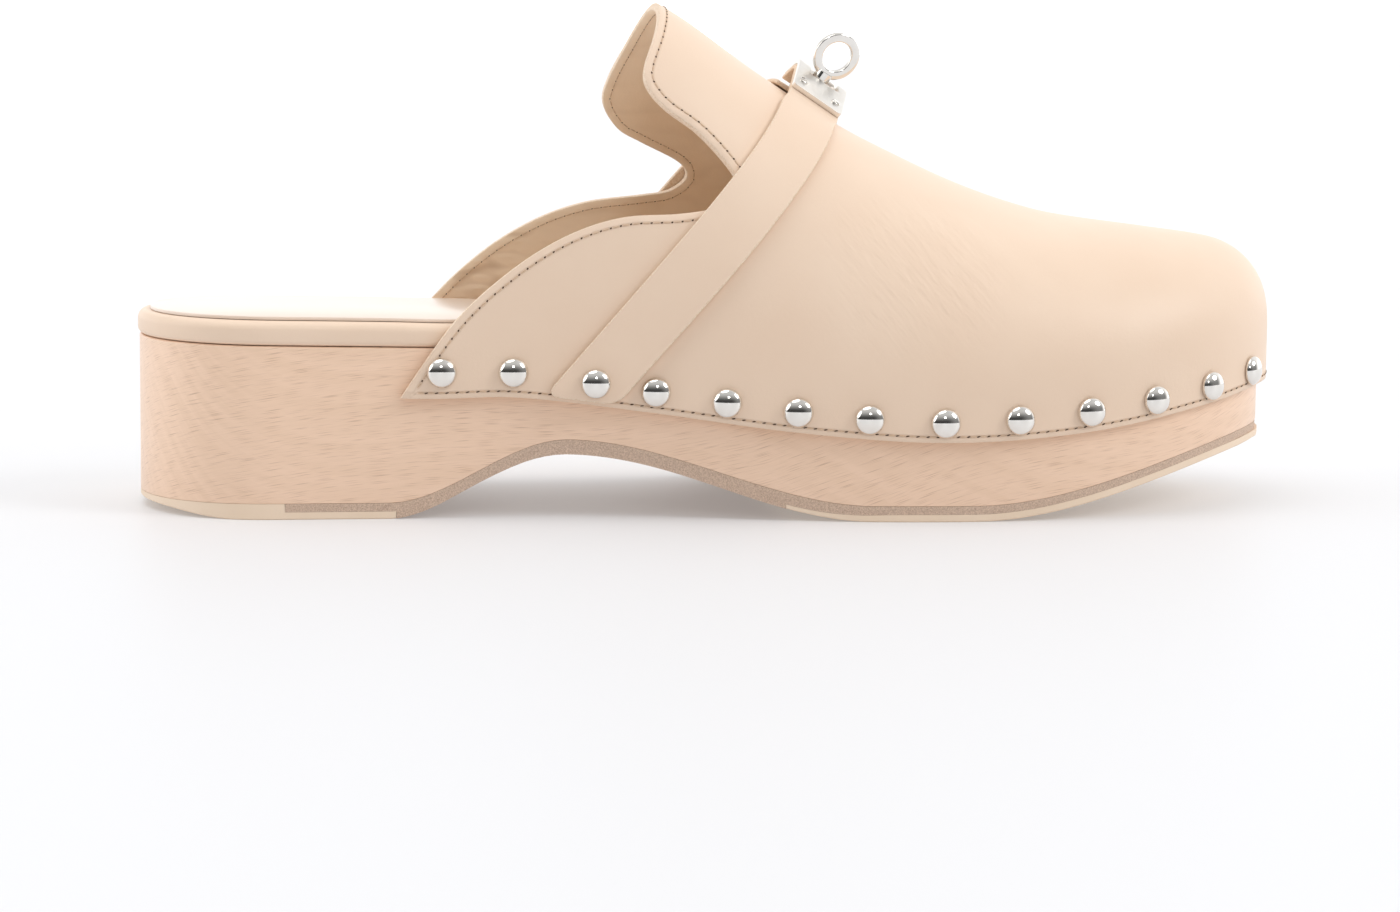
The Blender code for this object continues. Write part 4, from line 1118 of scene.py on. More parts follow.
def thicken(bm, normals, thickness, profile):
    """Gives an open sheet its wall: the back face in material 1, and a swelling cut edge in material 2."""
    bmesh.ops.recalc_face_normals(bm, faces=bm.faces)
    first = next(iter(bm.faces))
    first.normal_update()
    if first.normal.dot(normals[first.verts[0]]) < 0:
        bmesh.ops.reverse_faces(bm, faces=bm.faces)
    front = list(bm.faces)
    open_edges = [e for e in bm.edges if e.is_boundary]
    way_out = {}
    for edge in open_edges:
        face = edge.link_faces[0]
        middle = (edge.verts[0].co + edge.verts[1].co) / 2
        run = (edge.verts[1].co - edge.verts[0].co).normalized()
        normal = (normals[edge.verts[0]] + normals[edge.verts[1]]).normalized()
        out = run.cross(normal)
        if out.dot(face.calc_center_median() - middle) > 0:
            out = -out
        for vert in edge.verts:
            way_out[vert] = way_out.get(vert, Vector()) + out
    copied = bmesh.ops.duplicate(bm, geom=front)
    twin = {}
    for a, b in copied["vert_map"].items():
        if a in normals:
            twin[a] = b
    for vert, back in twin.items():
        back.co = vert.co - normals[vert] * thickness
    back_faces = [f for f in copied["geom"] if isinstance(f, bmesh.types.BMFace)]
    bmesh.ops.reverse_faces(bm, faces=back_faces)
    for face in back_faces:
        face.material_index = 1
    rings = {}
    for vert, out in way_out.items():
        out.normalize()
        ring = [vert]
        for share, swell in profile:
            at = vert.co - normals[vert] * thickness * share + out * swell
            ring.append(bm.verts.new(at, vert))
        rings[vert] = ring + [twin[vert]]
    for edge in open_edges:
        a, b = rings[edge.verts[0]], rings[edge.verts[1]]
        loop = edge.link_loops[0]
        if loop.vert is edge.verts[0]:
            a, b = b, a
        for k in range(len(a) - 1):
            face = bm.faces.new((a[k], b[k], b[k + 1], a[k + 1]))
            face.material_index = 2
            face.smooth = True


thicken(upper_bm, normal_of, WALL, RIM_PROFILE)

# Vegetable-tanned lining, brushed on the flesh side: warm tan, wrinkled crosswise where the quarters flex,
# with painted shade in the wrinkles' hollows.
lining, lining_tree, lining_shader = new_material("tan_leather_lining")
lining_at = add_node(lining_tree, "ShaderNodeTexCoord").outputs["Object"]
lining_cloud = add_node(
    lining_tree, "ShaderNodeTexNoise", {"Vector": lining_at, "Scale": 1 / (LINING_CLOUD * MM), "Detail": 5.0}
)
lining_split = add_node(lining_tree, "ShaderNodeSeparateXYZ", {0: lining_at})
flexed = add_node(
    lining_tree,
    "ShaderNodeMapRange",
    {
        "Value": lining_split.outputs["X"],
        "From Min": WRINKLES_BEGIN * MM,
        "From Max": WRINKLES_FULL * MM,
        "To Min": WRINKLES_LEAST,
        "To Max": 1.0,
    },
    interpolation_type="SMOOTHSTEP",
)
wrinkle_space = add_node(
    lining_tree,
    "ShaderNodeMapping",
    {
        "Vector": lining_at,
        "Rotation": (0.0, WRINKLE_TURN, 0.0),
        "Scale": [1 / (v * MM) for v in WRINKLE_SIZE],
    },
)
wrinkles = add_node(
    lining_tree,
    "ShaderNodeTexVoronoi",
    {"Vector": wrinkle_space.outputs["Vector"], "Scale": 1.0},
    feature="SMOOTH_F1",
)
lining_tone = add_node(
    lining_tree,
    "ShaderNodeMix",
    {"Factor": lining_cloud.outputs["Fac"], "A": linear(LINING_PALE), "B": linear(LINING_TAN)},
    data_type="RGBA",
)
# Painted shade: the colour darkens into the deep tan in the wrinkles' hollows, where the quarters flex.
wrinkle_painted_shade = add_node(
    lining_tree,
    "ShaderNodeMapRange",
    {
        "Value": wrinkles.outputs["Distance"],
        "From Min": WRINKLE_CREST,
        "From Max": WRINKLE_FLOOR,
        "To Max": WRINKLE_SHADE_MOST,
    },
)
wrinkle_shade_share = add_node(
    lining_tree,
    "ShaderNodeMath",
    {0: wrinkle_painted_shade.outputs["Result"], 1: flexed.outputs["Result"]},
    operation="MULTIPLY",
)
lining_colour = add_node(
    lining_tree,
    "ShaderNodeMix",
    {"Factor": wrinkle_shade_share.outputs["Value"], "A": lining_tone.outputs[2], "B": linear(LINING_WRINKLE_SHADE)},
    data_type="RGBA",
)
wrinkle_height = add_node(
    lining_tree,
    "ShaderNodeMath",
    {0: wrinkles.outputs["Distance"], 1: flexed.outputs["Result"]},
    operation="MULTIPLY",
)
lining_nap = add_node(
    lining_tree, "ShaderNodeTexNoise", {"Vector": lining_at, "Scale": 1 / (LINING_NAP * MM), "Detail": 3.0}
)
nap_bump = add_node(
    lining_tree,
    "ShaderNodeBump",
    {"Height": lining_nap.outputs["Fac"], "Strength": 0.25, "Distance": 0.2 * MM},
)
lining_bump = add_node(
    lining_tree,
    "ShaderNodeBump",
    {
        "Height": wrinkle_height.outputs["Value"],
        "Strength": 0.6,
        "Distance": 0.9 * MM,
        "Normal": nap_bump.outputs["Normal"],
    },
    invert=True,
)
lining_looks = {
    "Base Color": lining_colour.outputs[2],
    "Normal": lining_bump.outputs["Normal"],
    "Roughness": 0.62,
}
plug(lining_tree, lining_shader, lining_looks)

# Raw cut edge: pale leather fibre over a line of tan lining, slightly fuzzy.
raw_edge, edge_tree, edge_shader = new_material("raw_leather_edge")
edge_at = add_node(edge_tree, "ShaderNodeTexCoord").outputs["Object"]
edge_fibre = add_node(
    edge_tree, "ShaderNodeTexNoise", {"Vector": edge_at, "Scale": 1 / (EDGE_FIBRE * MM), "Detail": 3.0}
)
edge_share = add_node(
    edge_tree, "ShaderNodeMapRange", {"Value": edge_fibre.outputs["Fac"], "From Min": 0.4, "From Max": 0.75}
)
edge_colour = add_node(
    edge_tree,
    "ShaderNodeMix",
    {"Factor": edge_share.outputs["Result"], "A": linear(EDGE_PALE), "B": linear(EDGE_TAN)},
    data_type="RGBA",
)
edge_bump = add_node(
    edge_tree,
    "ShaderNodeBump",
    {"Height": edge_fibre.outputs["Fac"], "Strength": 0.5, "Distance": 0.2 * MM},
)
edge_looks = {
    "Base Color": edge_colour.outputs[2],
    "Normal": edge_bump.outputs["Normal"],
    "Roughness": 0.85,
}
plug(edge_tree, edge_shader, edge_looks)

upper_leather = leather("smooth_calf_upper", True)
upper = make_piece(upper_bm, "leather_upper", [upper_leather, lining, raw_edge], sharp=70.0)
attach(upper, "shoe")
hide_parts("upper")

# Stitching: one row of beige thread round the topline, the notches and the tongue, and one along the lower
# edge. Each stitch lies between two needle holes, drawn as small dark dots of painted shadow in the groove.
STITCH_PITCH, STITCH_LENGTH, THREAD_WIDTH, THREAD_HEIGHT = 2.2, 1.5, 0.26, 0.11
RIM_HOLE, INNER_HOLE, HEM_HOLE, STITCH_SLANT = (0.56, 0.33), (0.44, 0.20), (0.84, 0.27), 14.0
HOLE_DEPTH, HOLE_LIFT, THREAD_LIFT, INNER_LIFT = 0.10, 0.02, 0.06, 0.12
LOWEST_RIM_STITCH, HEM_BACK, HEM_POINTS = -0.86, -79.0, 260
THREAD_COLOUR, THREAD_SHADE, THREAD_TWIST = "DFC5A9", "CBAA89", 0.3333
# The hole colours are painted shadow.
HOLE_SHADOW_COLOUR, HOLE_SHADOW_TONE, HOLE_CLOUD = "4C3626", "5A4230", 0.667


def evenly(points, pitch):
    """Points along a line of points at an even pitch, with the running direction at each."""
    found, carried = [], pitch / 2
    for a, b in zip(points, points[1:]):
        length = (b - a).length
        while carried < length:
            found.append((a.lerp(b, carried / length), (b - a) / length))
            carried += pitch
        carried -= length
    return found


def gather(bm, part, matrix):
    """Adds a copy of a bmesh part to another at a place."""
    mesh = bpy.data.meshes.new("part")
    part.to_mesh(mesh)
    mesh.transform(matrix)
    bm.from_mesh(mesh)
    bpy.data.meshes.remove(mesh)


def stitch_row(points, hole):
    """Stitches and holes along a line of points on the upper, each with its normal."""
    for at, run in evenly([p for p, n in points], STITCH_PITCH):
        normal = min(points, key=lambda pair: (pair[0] - at).length_squared)[1]
        across = normal.cross(run).normalized()
        turn = Matrix((run, across, normal)).transposed().to_4x4()
        slant = Matrix.Rotation(math.radians(STITCH_SLANT), 4, "Z")
        needle = at + run * STITCH_PITCH / 2 + normal * HOLE_LIFT
        gather(thread_bm, one_stitch, Matrix.Translation(at) @ turn)
        gather(hole_bm, hole, Matrix.Translation(needle) @ turn @ slant)


one_stitch, rim_hole, inner_hole, hem_hole = bmesh.new(), bmesh.new(), bmesh.new(), bmesh.new()
stitch_size = Matrix.Diagonal((STITCH_LENGTH / 2, THREAD_WIDTH / 2, THREAD_HEIGHT, 1.0))
bmesh.ops.create_uvsphere(one_stitch, u_segments=8, v_segments=6, radius=1.0, matrix=stitch_size)
for hole, (length, width) in ((rim_hole, RIM_HOLE), (inner_hole, INNER_HOLE), (hem_hole, HEM_HOLE)):
    hole_size = Matrix.Diagonal((length / 2, width / 2, HOLE_DEPTH, 1.0))
    bmesh.ops.create_uvsphere(hole, u_segments=8, v_segments=4, radius=1.0, matrix=hole_size)
thread_bm, hole_bm = bmesh.new(), bmesh.new()
for side in (LATERAL, MEDIAL):
    line = []
    chain = [(spot[v], p) for v, p in zip(rim_chain, rim_points)]
    for k in range(1, len(chain) - 1):
        (here_side, s, angle), at = chain[k]
        if here_side != side:
            continue
        run = (rim_points[k + 1] - rim_points[k - 1]).normalized()
        normal = upper_normal(here_side, s, angle)
        inward = normal.cross(run)
        aim = at + inward * STITCH_FROM_RIM
        if cut_away(aim):
            aim = at - inward * STITCH_FROM_RIM
        s, angle = place_on_upper(side, s, angle, aim.x, aim.z)
        if angle > LOWEST_RIM_STITCH:
            normal = upper_normal(side, s, angle)
            line.append((upper_face(side, s, angle) + normal * THREAD_LIFT, normal))
    hem_line = []
    for k in range(HEM_POINTS + 1):
        s = mix(station(HEM_BACK), 3.0, k / HEM_POINTS)
        hem = hem_height(plan(side, s, GAP + WALL).x)
        shoulder = wood_top(plan(side, s, GAP + WALL).x)
        angle = -1.0 + STITCH_FROM_HEM / (shoulder - hem)
        normal = upper_normal(side, s, angle)
        at = upper_face(side, s, angle)
        if not cut_away(at) and min((at - p).length for p in rim_points) > STITCH_FROM_RIM:
            hem_line.append((at + normal * THREAD_LIFT, normal))
    stitch_row(line, rim_hole)
    stitch_row([(p - n * (WALL + INNER_LIFT), -n) for p, n in line], inner_hole)
    stitch_row(hem_line, hem_hole)
for part in (one_stitch, rim_hole, inner_hole, hem_hole):
    part.free()

# Twisted linen thread, waxed: soft beige with darker turns.
thread_tones = (THREAD_COLOUR, THREAD_SHADE)
thread = mottled("waxed_linen_thread", thread_tones, THREAD_TWIST, 2.0, {"Roughness": 0.6})

# Needle hole: painted shadow, a shallow dark dot with a little of the hide's tone where the hole's shade
# falls.
hole_looks = {"Roughness": 0.95, "Specular IOR Level": 0.05}
hole_shadow_paint = mottled("needle_hole_shadow", (HOLE_SHADOW_COLOUR, HOLE_SHADOW_TONE), HOLE_CLOUD, 2.0, hole_looks)

stitches = make_piece(thread_bm, "stitches", [thread], sharp=180.0)
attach(stitches, "shoe")
holes = make_piece(hole_bm, "needle_hole_shadows", [hole_shadow_paint], sharp=180.0)
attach(holes, "shoe")

# Instep straps: two lengths of the same calf, each nailed under the third stud. The lateral one carries the
# lock plate, and lies on the medial one, which hugs the instep and carries the lock's base.
STRAP_HALF_WIDTH, STRAP_TAB_HALF_WIDTH, STRAP_LEAN = 6.2, 7.5, 49.0
STRAP_GAP, OVER_THICKNESS, UNDER_THICKNESS = 0.4, 1.3, 1.1
STRAP_END_RISE, STRAP_END_CORNER, HEM_DEPTH = 0.9, 2.2, 9.6
OVER_LEAVES_AT, UNDER_PAST_RIDGE, PAST_ROWS = 66.0, 5.0, 4
TAB_FROM, TAB_TAPER = 0.66, 0.22
STRAP_BACKMOST, STRAP_FOREMOST, HALVINGS = -75.0, 45.0, 32
STRAP_ROWS, STRAP_COLUMNS, END_ROWS, BRIDGE_ROWS, STRAP_CROWDING = 64, 24, 6, 12, 1.15
LAND_MARGIN, TIP_MARGIN = 0.6, 0.4
SEAT = Vector((23.4, 3.7, 92.35))
LOCK_PITCH, LOCK_ROLL = 33.5, 29.0
PLATE_LENGTH, PLATE_NEAR, PLATE_FAR, PLATE_THICKNESS = 12.8, 11.4, 8.6, 1.1
FOLD_FROM, FOLD_RADIUS, FOLD_ANGLE, FOLD_STEPS = -0.6, 4.0, 57.0, 12
STRAP_PROFILE = (
    # share of the thickness, how far the cut edge swells
    (0.05, 0.12),
    (0.18, 0.22),
    (0.50, 0.27),
    (0.82, 0.22),
    (0.95, 0.12),
)

lock_pitch, lock_roll = math.radians(LOCK_PITCH), math.radians(LOCK_ROLL)
lock_along = Vector((math.cos(lock_pitch), 0.0, -math.sin(lock_pitch)))
ridge_up = Vector((math.sin(lock_pitch), 0.0, math.cos(lock_pitch)))
lock_across = Vector((0.0, math.cos(lock_roll), 0.0)) + ridge_up * math.sin(lock_roll)
lock_out = ridge_up * math.cos(lock_roll) - Vector((0.0, math.sin(lock_roll), 0.0))
fold_width = FOLD_RADIUS * math.radians(FOLD_ANGLE)


def folded(b, c):
    """Where a point across and out of the lock goes when bent over the ridge, and how far it is turned."""
    turn = min(max(b - FOLD_FROM, 0.0), fold_width) / FOLD_RADIUS
    before, after = min(b, FOLD_FROM), max(b - FOLD_FROM - fold_width, 0.0)
    radius = FOLD_RADIUS + c
    across = before + radius * math.sin(turn) + after * math.cos(turn)
    return across, radius * math.cos(turn) - FOLD_RADIUS - after * math.sin(turn), turn


fold_lines = [FOLD_FROM + fold_width * k / FOLD_STEPS for k in range(FOLD_STEPS + 1)]


def on_strap(side, angle, offset):
    """The outline place s where the strap's plane, moved by offset, meets the rib at an angle."""
    lean = math.radians(STRAP_LEAN)
    normal = Vector((math.sin(lean), 0.0, -math.cos(lean)))
    low, high = station(STRAP_BACKMOST), station(STRAP_FOREMOST)
    for _ in range(HALVINGS):
        s = (low + high) / 2
        if (upper_face(side, s, angle) - SEAT).dot(normal) < offset:
            low = s
        else:
            high = s
    return (low + high) / 2


def strap_line(side, share, half, angles, stand):
    """Points and normals up one line of a strap, stand above the leather; half gives its half width."""
    line = []
    for angle in angles:
        s = on_strap(side, angle, share * half(angle))
        normal = upper_normal(side, s, angle)
        line.append((upper_face(side, s, angle) + normal * stand, normal))
    return line


def strap_sheet(lines):
    """An open bmesh sheet from lines of points with normals, and the normal of each vertex."""
    bm = bmesh.new()
    columns, count = len(lines) - 1, len(lines[0]) - 1
    grid = bmesh.ops.create_grid(bm, x_segments=columns, y_segments=count, size=0.5)
    normals = {}
    for vert in grid["verts"]:
        line = lines[round((vert.co.x + 0.5) * columns)]
        vert.co, normals[vert] = line[round((vert.co.y + 0.5) * count)]
    return bm, normals


def strap_angles(share, top):
    """Angles up a strap line, from its end near the hem, which has round corners, to the top angle."""
    in_corner = (abs(share) - 1.0) * STRAP_HALF_WIDTH / STRAP_END_CORNER + 1.0
    rise = STRAP_END_RISE + STRAP_END_CORNER * (1.0 - math.sqrt(1.0 - min(max(in_corner, 0.0), 1.0) ** 2))
    end = -1.0 + rise / HEM_DEPTH
    foot = [mix(end, 0.0, k / END_ROWS) for k in range(END_ROWS)]
    return foot + [top * (k / STRAP_ROWS) ** STRAP_CROWDING for k in range(STRAP_ROWS + 1)]


def tab_half(angle):
    """The inner strap widens to a tab under the lock."""
    share = angle / (math.pi / 2)
    return mix(STRAP_HALF_WIDTH, STRAP_TAB_HALF_WIDTH, smoothstep((share - TAB_FROM) / TAB_TAPER))


shares = [-math.cos(math.pi * k / STRAP_COLUMNS) for k in range(STRAP_COLUMNS + 1)]
over_lines = []
for share in shares:
    stand = STRAP_GAP + OVER_THICKNESS
    over_angles = strap_angles(share, math.radians(OVER_LEAVES_AT))
    line = strap_line(LATERAL, share, lambda angle: STRAP_HALF_WIDTH, over_angles, stand)
    leave, leave_normal = line[-1]
    leave_way = (line[-1][0] - line[-2][0]).normalized()
    flat = SEAT + lock_along * share * STRAP_HALF_WIDTH
    land = flat + lock_out * OVER_THICKNESS - lock_across * (PLATE_NEAR + LAND_MARGIN)
    reach = (land - leave).length
    bridge = []
    for k in range(1, BRIDGE_ROWS + 1):
        u = k / BRIDGE_ROWS
        bend = leave_way * reach * (u**3 - 2 * u**2 + u) + lock_across * reach * (u**3 - u**2)
        bridge.append((leave.lerp(land, smoothstep(u)) + bend, leave_normal.lerp(lock_out, u).normalized()))
    lands = []
    near_lines = [-PLATE_NEAR * k / 5 for k in (4, 3, 2, 1)]
    for b in near_lines + fold_lines + [PLATE_FAR / 2, PLATE_FAR - TIP_MARGIN]:
        across, out, turn = folded(b, OVER_THICKNESS)
        normal = lock_out * math.cos(turn) + lock_across * math.sin(turn)
        lands.append((flat + lock_across * across + lock_out * out, normal))
    over_lines.append(line + bridge + lands)
over_bm, over_normals = strap_sheet(over_lines)
thicken(over_bm, over_normals, OVER_THICKNESS, STRAP_PROFILE)
strap_leather = leather("smooth_calf_strap", False)
strap_over = make_piece(over_bm, "outer_strap", [strap_leather, raw_edge, raw_edge], sharp=60.0)
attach(strap_over, "shoe")
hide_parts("strap_over")

under_lines = []
past = [math.radians(90.0 - UNDER_PAST_RIDGE * k / PAST_ROWS) for k in range(1, PAST_ROWS + 1)]
for share in shares:
    stand = STRAP_GAP + UNDER_THICKNESS
    line = strap_line(MEDIAL, share, tab_half, strap_angles(share, math.pi / 2), stand)
    line += strap_line(LATERAL, share, lambda angle: STRAP_TAB_HALF_WIDTH, past, stand)
    under_lines.append(line)
under_bm, under_normals = strap_sheet(under_lines)
thicken(under_bm, under_normals, UNDER_THICKNESS, STRAP_PROFILE)
strap_under = make_piece(under_bm, "inner_strap", [strap_leather, raw_edge, raw_edge], sharp=60.0)
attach(strap_under, "shoe")
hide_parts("strap_under")

# Domed studs: pressed steel nail heads, nickel plated and polished, driven through the hem into the wood.
# The third on each side also holds the strap.
STUDS_PER_SIDE, FIRST_STUD_X, STRAP_STUD = 13, -63.9, 3
STUD_PITCH_BACK, STUD_PITCH_FRONT, STUDS_AT_BACK_PITCH = 15.2, 16.3, 6
STUD_RADIUS, STUD_HEIGHT, STUD_LIP, STUD_FOOT = 3.25, 2.2, 0.35, 0.12
STUD_SEGMENTS, STUD_RINGS, LATHE_WELD = 32, 10, 0.001
NICKEL, NICKEL_WARM, HANDLED = "F0EEEA", "E4DFD8", 2.5


def at_height(side, s, z):
    """The rib angle at which the upper's face reaches a height."""
    low, high = -1.0, math.pi / 2
    for _ in range(HALVINGS):
        angle = (low + high) / 2
        if upper_face(side, s, angle).z < z:
            low = angle
        else:
            high = angle
    return (low + high) / 2


def stud_places(side):
    """Places s of the studs on the outline, a little closer together at the quarters than round the toe."""
    step = 0.0005
    s = station(FIRST_STUD_X)
    places = [s]
    for number in range(1, STUDS_PER_SIDE):
        pitch = STUD_PITCH_BACK if number <= STUDS_AT_BACK_PITCH else STUD_PITCH_FRONT
        walked = 0.0
        while walked < pitch and s < 3.0:
            walked += (plan(side, s + step, GAP + WALL) - plan(side, s, GAP + WALL)).length
            s += step
        places.append(s)
    return places


def lathe(profile, segments):
    """A bmesh turned about Z from a profile of radius and height that starts and ends on the axis."""
    bm = bmesh.new()
    verts = [bm.verts.new((r, 0.0, z)) for r, z in profile]
    edges = [bm.edges.new(pair) for pair in zip(verts, verts[1:])]
    bmesh.ops.spin(
        bm,
        geom=verts + edges,
        cent=(0, 0, 0),
        axis=(0, 0, 1),
        angle=math.tau,
        steps=segments,
        use_merge=True,
    )
    bmesh.ops.remove_doubles(bm, verts=bm.verts, dist=LATHE_WELD)
    bmesh.ops.recalc_face_normals(bm, faces=bm.faces)
    return bm


def nickel_plating(name, bright, dull):
    """Nickel plate with hardly any tint; faint clouds left by handling take it from bright to dull."""
    made, tree, shader = new_material(name)
    at = add_node(tree, "ShaderNodeTexCoord").outputs["Object"]
    cloud = add_node(tree, "ShaderNodeTexNoise", {"Vector": at, "Scale": 1 / (HANDLED * MM), "Detail": 3.0})
    colour = add_node(
        tree,
        "ShaderNodeMix",
        {"Factor": cloud.outputs["Fac"], "A": linear(NICKEL), "B": linear(NICKEL_WARM)},
        data_type="RGBA",
    )
    rough = add_node(
        tree,
        "ShaderNodeMapRange",
        {"Value": cloud.outputs["Fac"], "From Min": 0.3, "From Max": 0.7, "To Min": bright, "To Max": dull},
    )
    looks = {"Base Color": colour.outputs[2], "Roughness": rough.outputs["Result"], "Metallic": 1.0}
    plug(tree, shader, looks)
    return made


# Bright nickel on the studs, ring and screws, polished to a mirror, and the same plating brushed on the
# lock's plate.
nickel = nickel_plating("polished_nickel_plate", 0.03, 0.07)
brushed_nickel = nickel_plating("brushed_nickel_plate", 0.34, 0.40)

stud_profile = []
for k in range(STUD_RINGS + 1):
    angle = math.pi / 2 * k / STUD_RINGS
    dome = STUD_LIP + (STUD_HEIGHT - STUD_LIP) * math.cos(angle)
    stud_profile.append((STUD_RADIUS * math.sin(angle), dome))
stud_profile += [(STUD_RADIUS, STUD_FOOT), (STUD_RADIUS - STUD_FOOT, 0.0), (0.0, 0.0)]
stud = lathe(stud_profile, STUD_SEGMENTS)
studs_bm = bmesh.new()
stud_names = []
for side, word in ((LATERAL, "lateral"), (MEDIAL, "medial")):
    places = stud_places(side)
    nail_angle = at_height(side, places[STRAP_STUD - 1], nail_line(outline(side, places[STRAP_STUD - 1]).x))
    places[STRAP_STUD - 1] = on_strap(side, nail_angle, 0.0)
    strap = OVER_THICKNESS if side == LATERAL else UNDER_THICKNESS
    for number, s in enumerate(places, start=1):
        angle = at_height(side, s, nail_line(outline(side, s).x))
        normal = upper_normal(side, s, angle)
        stand = GAP / 3 + (STRAP_GAP + strap if number == STRAP_STUD else 0.0)
        turn = normal.to_track_quat("Z", "Y").to_matrix().to_4x4()
        gather(studs_bm, stud, Matrix.Translation(upper_face(side, s, angle) + normal * stand) @ turn)
        stud_names.append(f"stud_{word}_{number:02d}")
stud.free()
studs = make_piece(studs_bm, "domed_studs", [nickel], sharp=50.0)
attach(studs, "shoe")
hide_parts(*stud_names)

# Turn lock: a stamped brass plate with an oval slot, screwed to the outer strap at its corners, and a flat
# ring on a post. The ring stands in the slot and turns across it to close. All of it is nickel plated.
PLATE_CORNER, PLATE_BEVEL, CORNER_STEPS = 0.9, 0.22, 11
SLOT_LENGTH, SLOT_WIDTH, SLOT_A = 10.6, 6.2, 0.5
POST_RADIUS, POST_A, POST_BELOW, POST_LEAN = 2.0, -0.25, 1.5, 18.5
POST_SEGMENTS, POST_INTO_NECK = 28, 0.6
NECK_LENGTH, NECK_THICKNESS, NECK_CORNER, NECK_BEVEL, NECK_INTO_RING = 4.8, 1.5, 0.6, 0.18, 0.8
RING_OUTER, RING_INNER, RING_THICKNESS, RING_RISE, RING_TURN = 5.5, 3.45, 1.4, 5.25, 20.0
RING_CORNER, RING_SEGMENTS = 0.35, 72
SCREW_RADIUS, SCREW_HEIGHT, SCREW_SLOT, SCREW_FLOOR = 1.05, 0.5, 0.28, 0.22
SCREW_FACE, SCREW_FACE_LOW, SCREW_BEVEL, SCREW_SEGMENTS, FACE_STEPS = 0.94, 0.1, 0.12, 24, 12
SCREW_A, SCREW_NEAR, SCREW_FAR, SCREW_TURN, SCREW_TURN_MORE = 4.3, -8.1, 6.8, 35.0, 50.0

lock_frame = Matrix((lock_along, lock_across, lock_out)).transposed().to_4x4()
lock_frame.translation = SEAT
post_lean = math.radians(POST_LEAN)
post_across = lock_across * math.cos(post_lean) - lock_out * math.sin(post_lean)
post_out = lock_out * math.cos(post_lean) + lock_across * math.sin(post_lean)
post_frame = Matrix((lock_along, post_across, post_out)).transposed().to_4x4()
post_frame.translation = SEAT
plate_low = OVER_THICKNESS + GAP / 3
plate_top = plate_low + PLATE_THICKNESS


def rounded_plan(length, width, corner, steps):
    """Corner points of a rectangle with round corners."""
    points = []
    for turn in range(4):
        cx = (length / 2 - corner) * (1 if turn in (0, 3) else -1)
        cy = (width / 2 - corner) * (1 if turn in (0, 1) else -1)
        for k in range(steps + 1):
            angle = math.pi / 2 * (turn + k / steps)
            points.append((cx + corner * math.cos(angle), cy + corner * math.sin(angle)))
    return points


def prism(points, low, high, hole=None, bevel=0.0):
    """A bmesh of a plan outline, with a hole if one is given, pulled up between two heights and eased."""
    bm = bmesh.new()
    loops = []
    for loop in (points, hole) if hole else (points,):
        verts = [bm.verts.new((x, y, low)) for x, y in loop]
        loops.append([bm.edges.new((verts[k - 1], verts[k])) for k in range(len(verts))])
    if hole:
        bmesh.ops.bridge_loops(bm, edges=loops[0] + loops[1])
    else:
        bmesh.ops.contextual_create(bm, geom=loops[0])
    pulled = bmesh.ops.extrude_face_region(bm, geom=list(bm.faces))
    top = [v for v in pulled["geom"] if isinstance(v, bmesh.types.BMVert)]
    bmesh.ops.translate(bm, vec=(0.0, 0.0, high - low), verts=top)
    bmesh.ops.recalc_face_normals(bm, faces=bm.faces)
    if bevel:
        rims = [e for e in bm.edges if e.calc_face_angle(0.0) > 1.0]
        bmesh.ops.bevel(
            bm,
            geom=rims,
            offset=bevel,
            segments=3,
            profile=0.5,
            affect="EDGES",
            material=-1,
            clamp_overlap=True,
        )
    return bm


slot_points, plate_points = [], []
plate_width, plate_middle = PLATE_NEAR + PLATE_FAR, (PLATE_FAR - PLATE_NEAR) / 2
for a, b in rounded_plan(PLATE_LENGTH, plate_width, PLATE_CORNER, CORNER_STEPS):
    turn = math.atan2(b / plate_width, a / PLATE_LENGTH)
    plate_points.append((a, b + plate_middle))
    slot_points.append((SLOT_A + SLOT_LENGTH / 2 * math.cos(turn), SLOT_WIDTH / 2 * math.sin(turn)))
plate_bm = prism(plate_points, plate_low, plate_top, slot_points, PLATE_BEVEL)
for b in fold_lines:
    everything = plate_bm.verts[:] + plate_bm.edges[:] + plate_bm.faces[:]
    bmesh.ops.bisect_plane(plate_bm, geom=everything, plane_co=(0.0, b, 0.0), plane_no=(0.0, 1.0, 0.0))
for vert in plate_bm.verts:
    vert.co.y, vert.co.z, turn = folded(vert.co.y, vert.co.z)
bmesh.ops.transform(plate_bm, matrix=lock_frame, verts=plate_bm.verts)
plate = make_piece(plate_bm, "slotted_plate", [brushed_nickel], sharp=35.0)
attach(plate, "shoe")
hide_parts("lock_plate")

screw_profile = [(0.0, SCREW_FLOOR), (SCREW_RADIUS, SCREW_FLOOR), (SCREW_RADIUS, 0.0), (0.0, 0.0)]
screw = lathe(screw_profile, SCREW_SEGMENTS)
face_radius = SCREW_FACE * SCREW_RADIUS
for half in (-1, 1):
    reach = math.asin(SCREW_SLOT / SCREW_RADIUS)
    moon = []
    for k in range(FACE_STEPS + 1):
        angle = mix(reach, math.pi - reach, k / FACE_STEPS) * half
        moon.append((face_radius * math.cos(angle), face_radius * math.sin(angle)))
    gather(screw, prism(moon, SCREW_FACE_LOW, SCREW_HEIGHT, None, SCREW_BEVEL), Matrix.Identity(4))
screws_bm = bmesh.new()
screw_places = [(a, b) for a in (-SCREW_A, SCREW_A) for b in (SCREW_NEAR, SCREW_FAR)]
for number, (a, b) in enumerate(screw_places):
    across, out, turn = folded(b, plate_top)
    turned_in = math.radians(SCREW_TURN + SCREW_TURN_MORE * number)
    twist = Matrix.Rotation(-turn, 4, "X") @ Matrix.Rotation(turned_in, 4, "Z")
    gather(screws_bm, screw, lock_frame @ Matrix.Translation((a, across, out)) @ twist)
screw.free()
screws = make_piece(screws_bm, "plate_screws", [nickel], sharp=35.0)
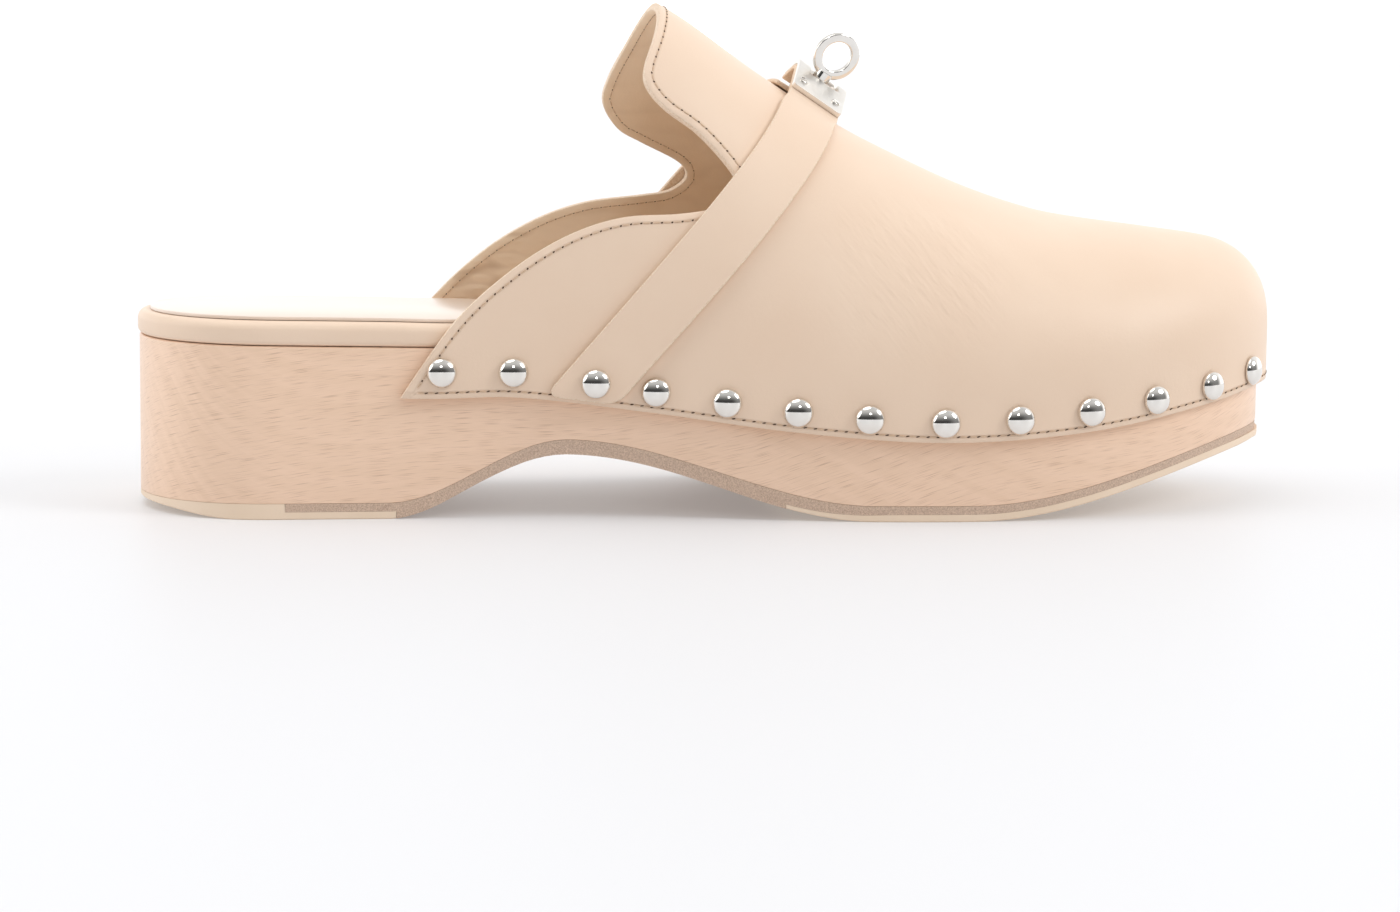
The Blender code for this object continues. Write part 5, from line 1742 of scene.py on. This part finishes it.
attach(screws, "shoe")
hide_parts("lock_screw_1", "lock_screw_2", "lock_screw_3", "lock_screw_4")

# The lock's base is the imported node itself, in the same bright nickel.
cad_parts["lock_base"].data.materials.clear()
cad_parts["lock_base"].data.materials.append(nickel)

ring_bm = bmesh.new()
ring_middle, ring_half = (RING_OUTER + RING_INNER) / 2, RING_OUTER - RING_INNER
section = rounded_plan(ring_half, RING_THICKNESS, RING_CORNER, 5)
section_verts = [ring_bm.verts.new((ring_middle + u, v, 0.0)) for u, v in section]
section_pairs = zip(section_verts[-1:] + section_verts[:-1], section_verts)
section_edges = [ring_bm.edges.new(pair) for pair in section_pairs]
bmesh.ops.spin(
    ring_bm,
    geom=section_verts + section_edges,
    cent=(0, 0, 0),
    axis=(0, 1, 0),
    angle=math.tau,
    steps=RING_SEGMENTS,
    use_merge=True,
)
bmesh.ops.remove_doubles(ring_bm, verts=ring_bm.verts, dist=LATHE_WELD)
bmesh.ops.recalc_face_normals(ring_bm, faces=ring_bm.faces)
ring_centre = plate_top + RING_RISE
bmesh.ops.translate(ring_bm, vec=(0.0, 0.0, ring_centre), verts=ring_bm.verts)
neck_low, neck_high = plate_top + GAP, ring_centre - RING_INNER - NECK_INTO_RING
neck_plan = rounded_plan(NECK_LENGTH, NECK_THICKNESS, NECK_CORNER, 4)
gather(ring_bm, prism(neck_plan, neck_low, neck_high, None, NECK_BEVEL), Matrix.Identity(4))
post_high = neck_low + POST_INTO_NECK
post_profile = [(0.0, post_high), (POST_RADIUS, post_high), (POST_RADIUS, -POST_BELOW), (0.0, -POST_BELOW)]
gather(ring_bm, lathe(post_profile, POST_SEGMENTS), Matrix.Identity(4))
ring_place = Matrix.Translation((POST_A, 0.0, 0.0)) @ Matrix.Rotation(math.radians(RING_TURN), 4, "Z")
bmesh.ops.transform(ring_bm, matrix=post_frame @ ring_place, verts=ring_bm.verts)
ring = make_piece(ring_bm, "turning_ring", [nickel], sharp=35.0)
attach(ring, "turn_ring")
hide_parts("lock_ring")
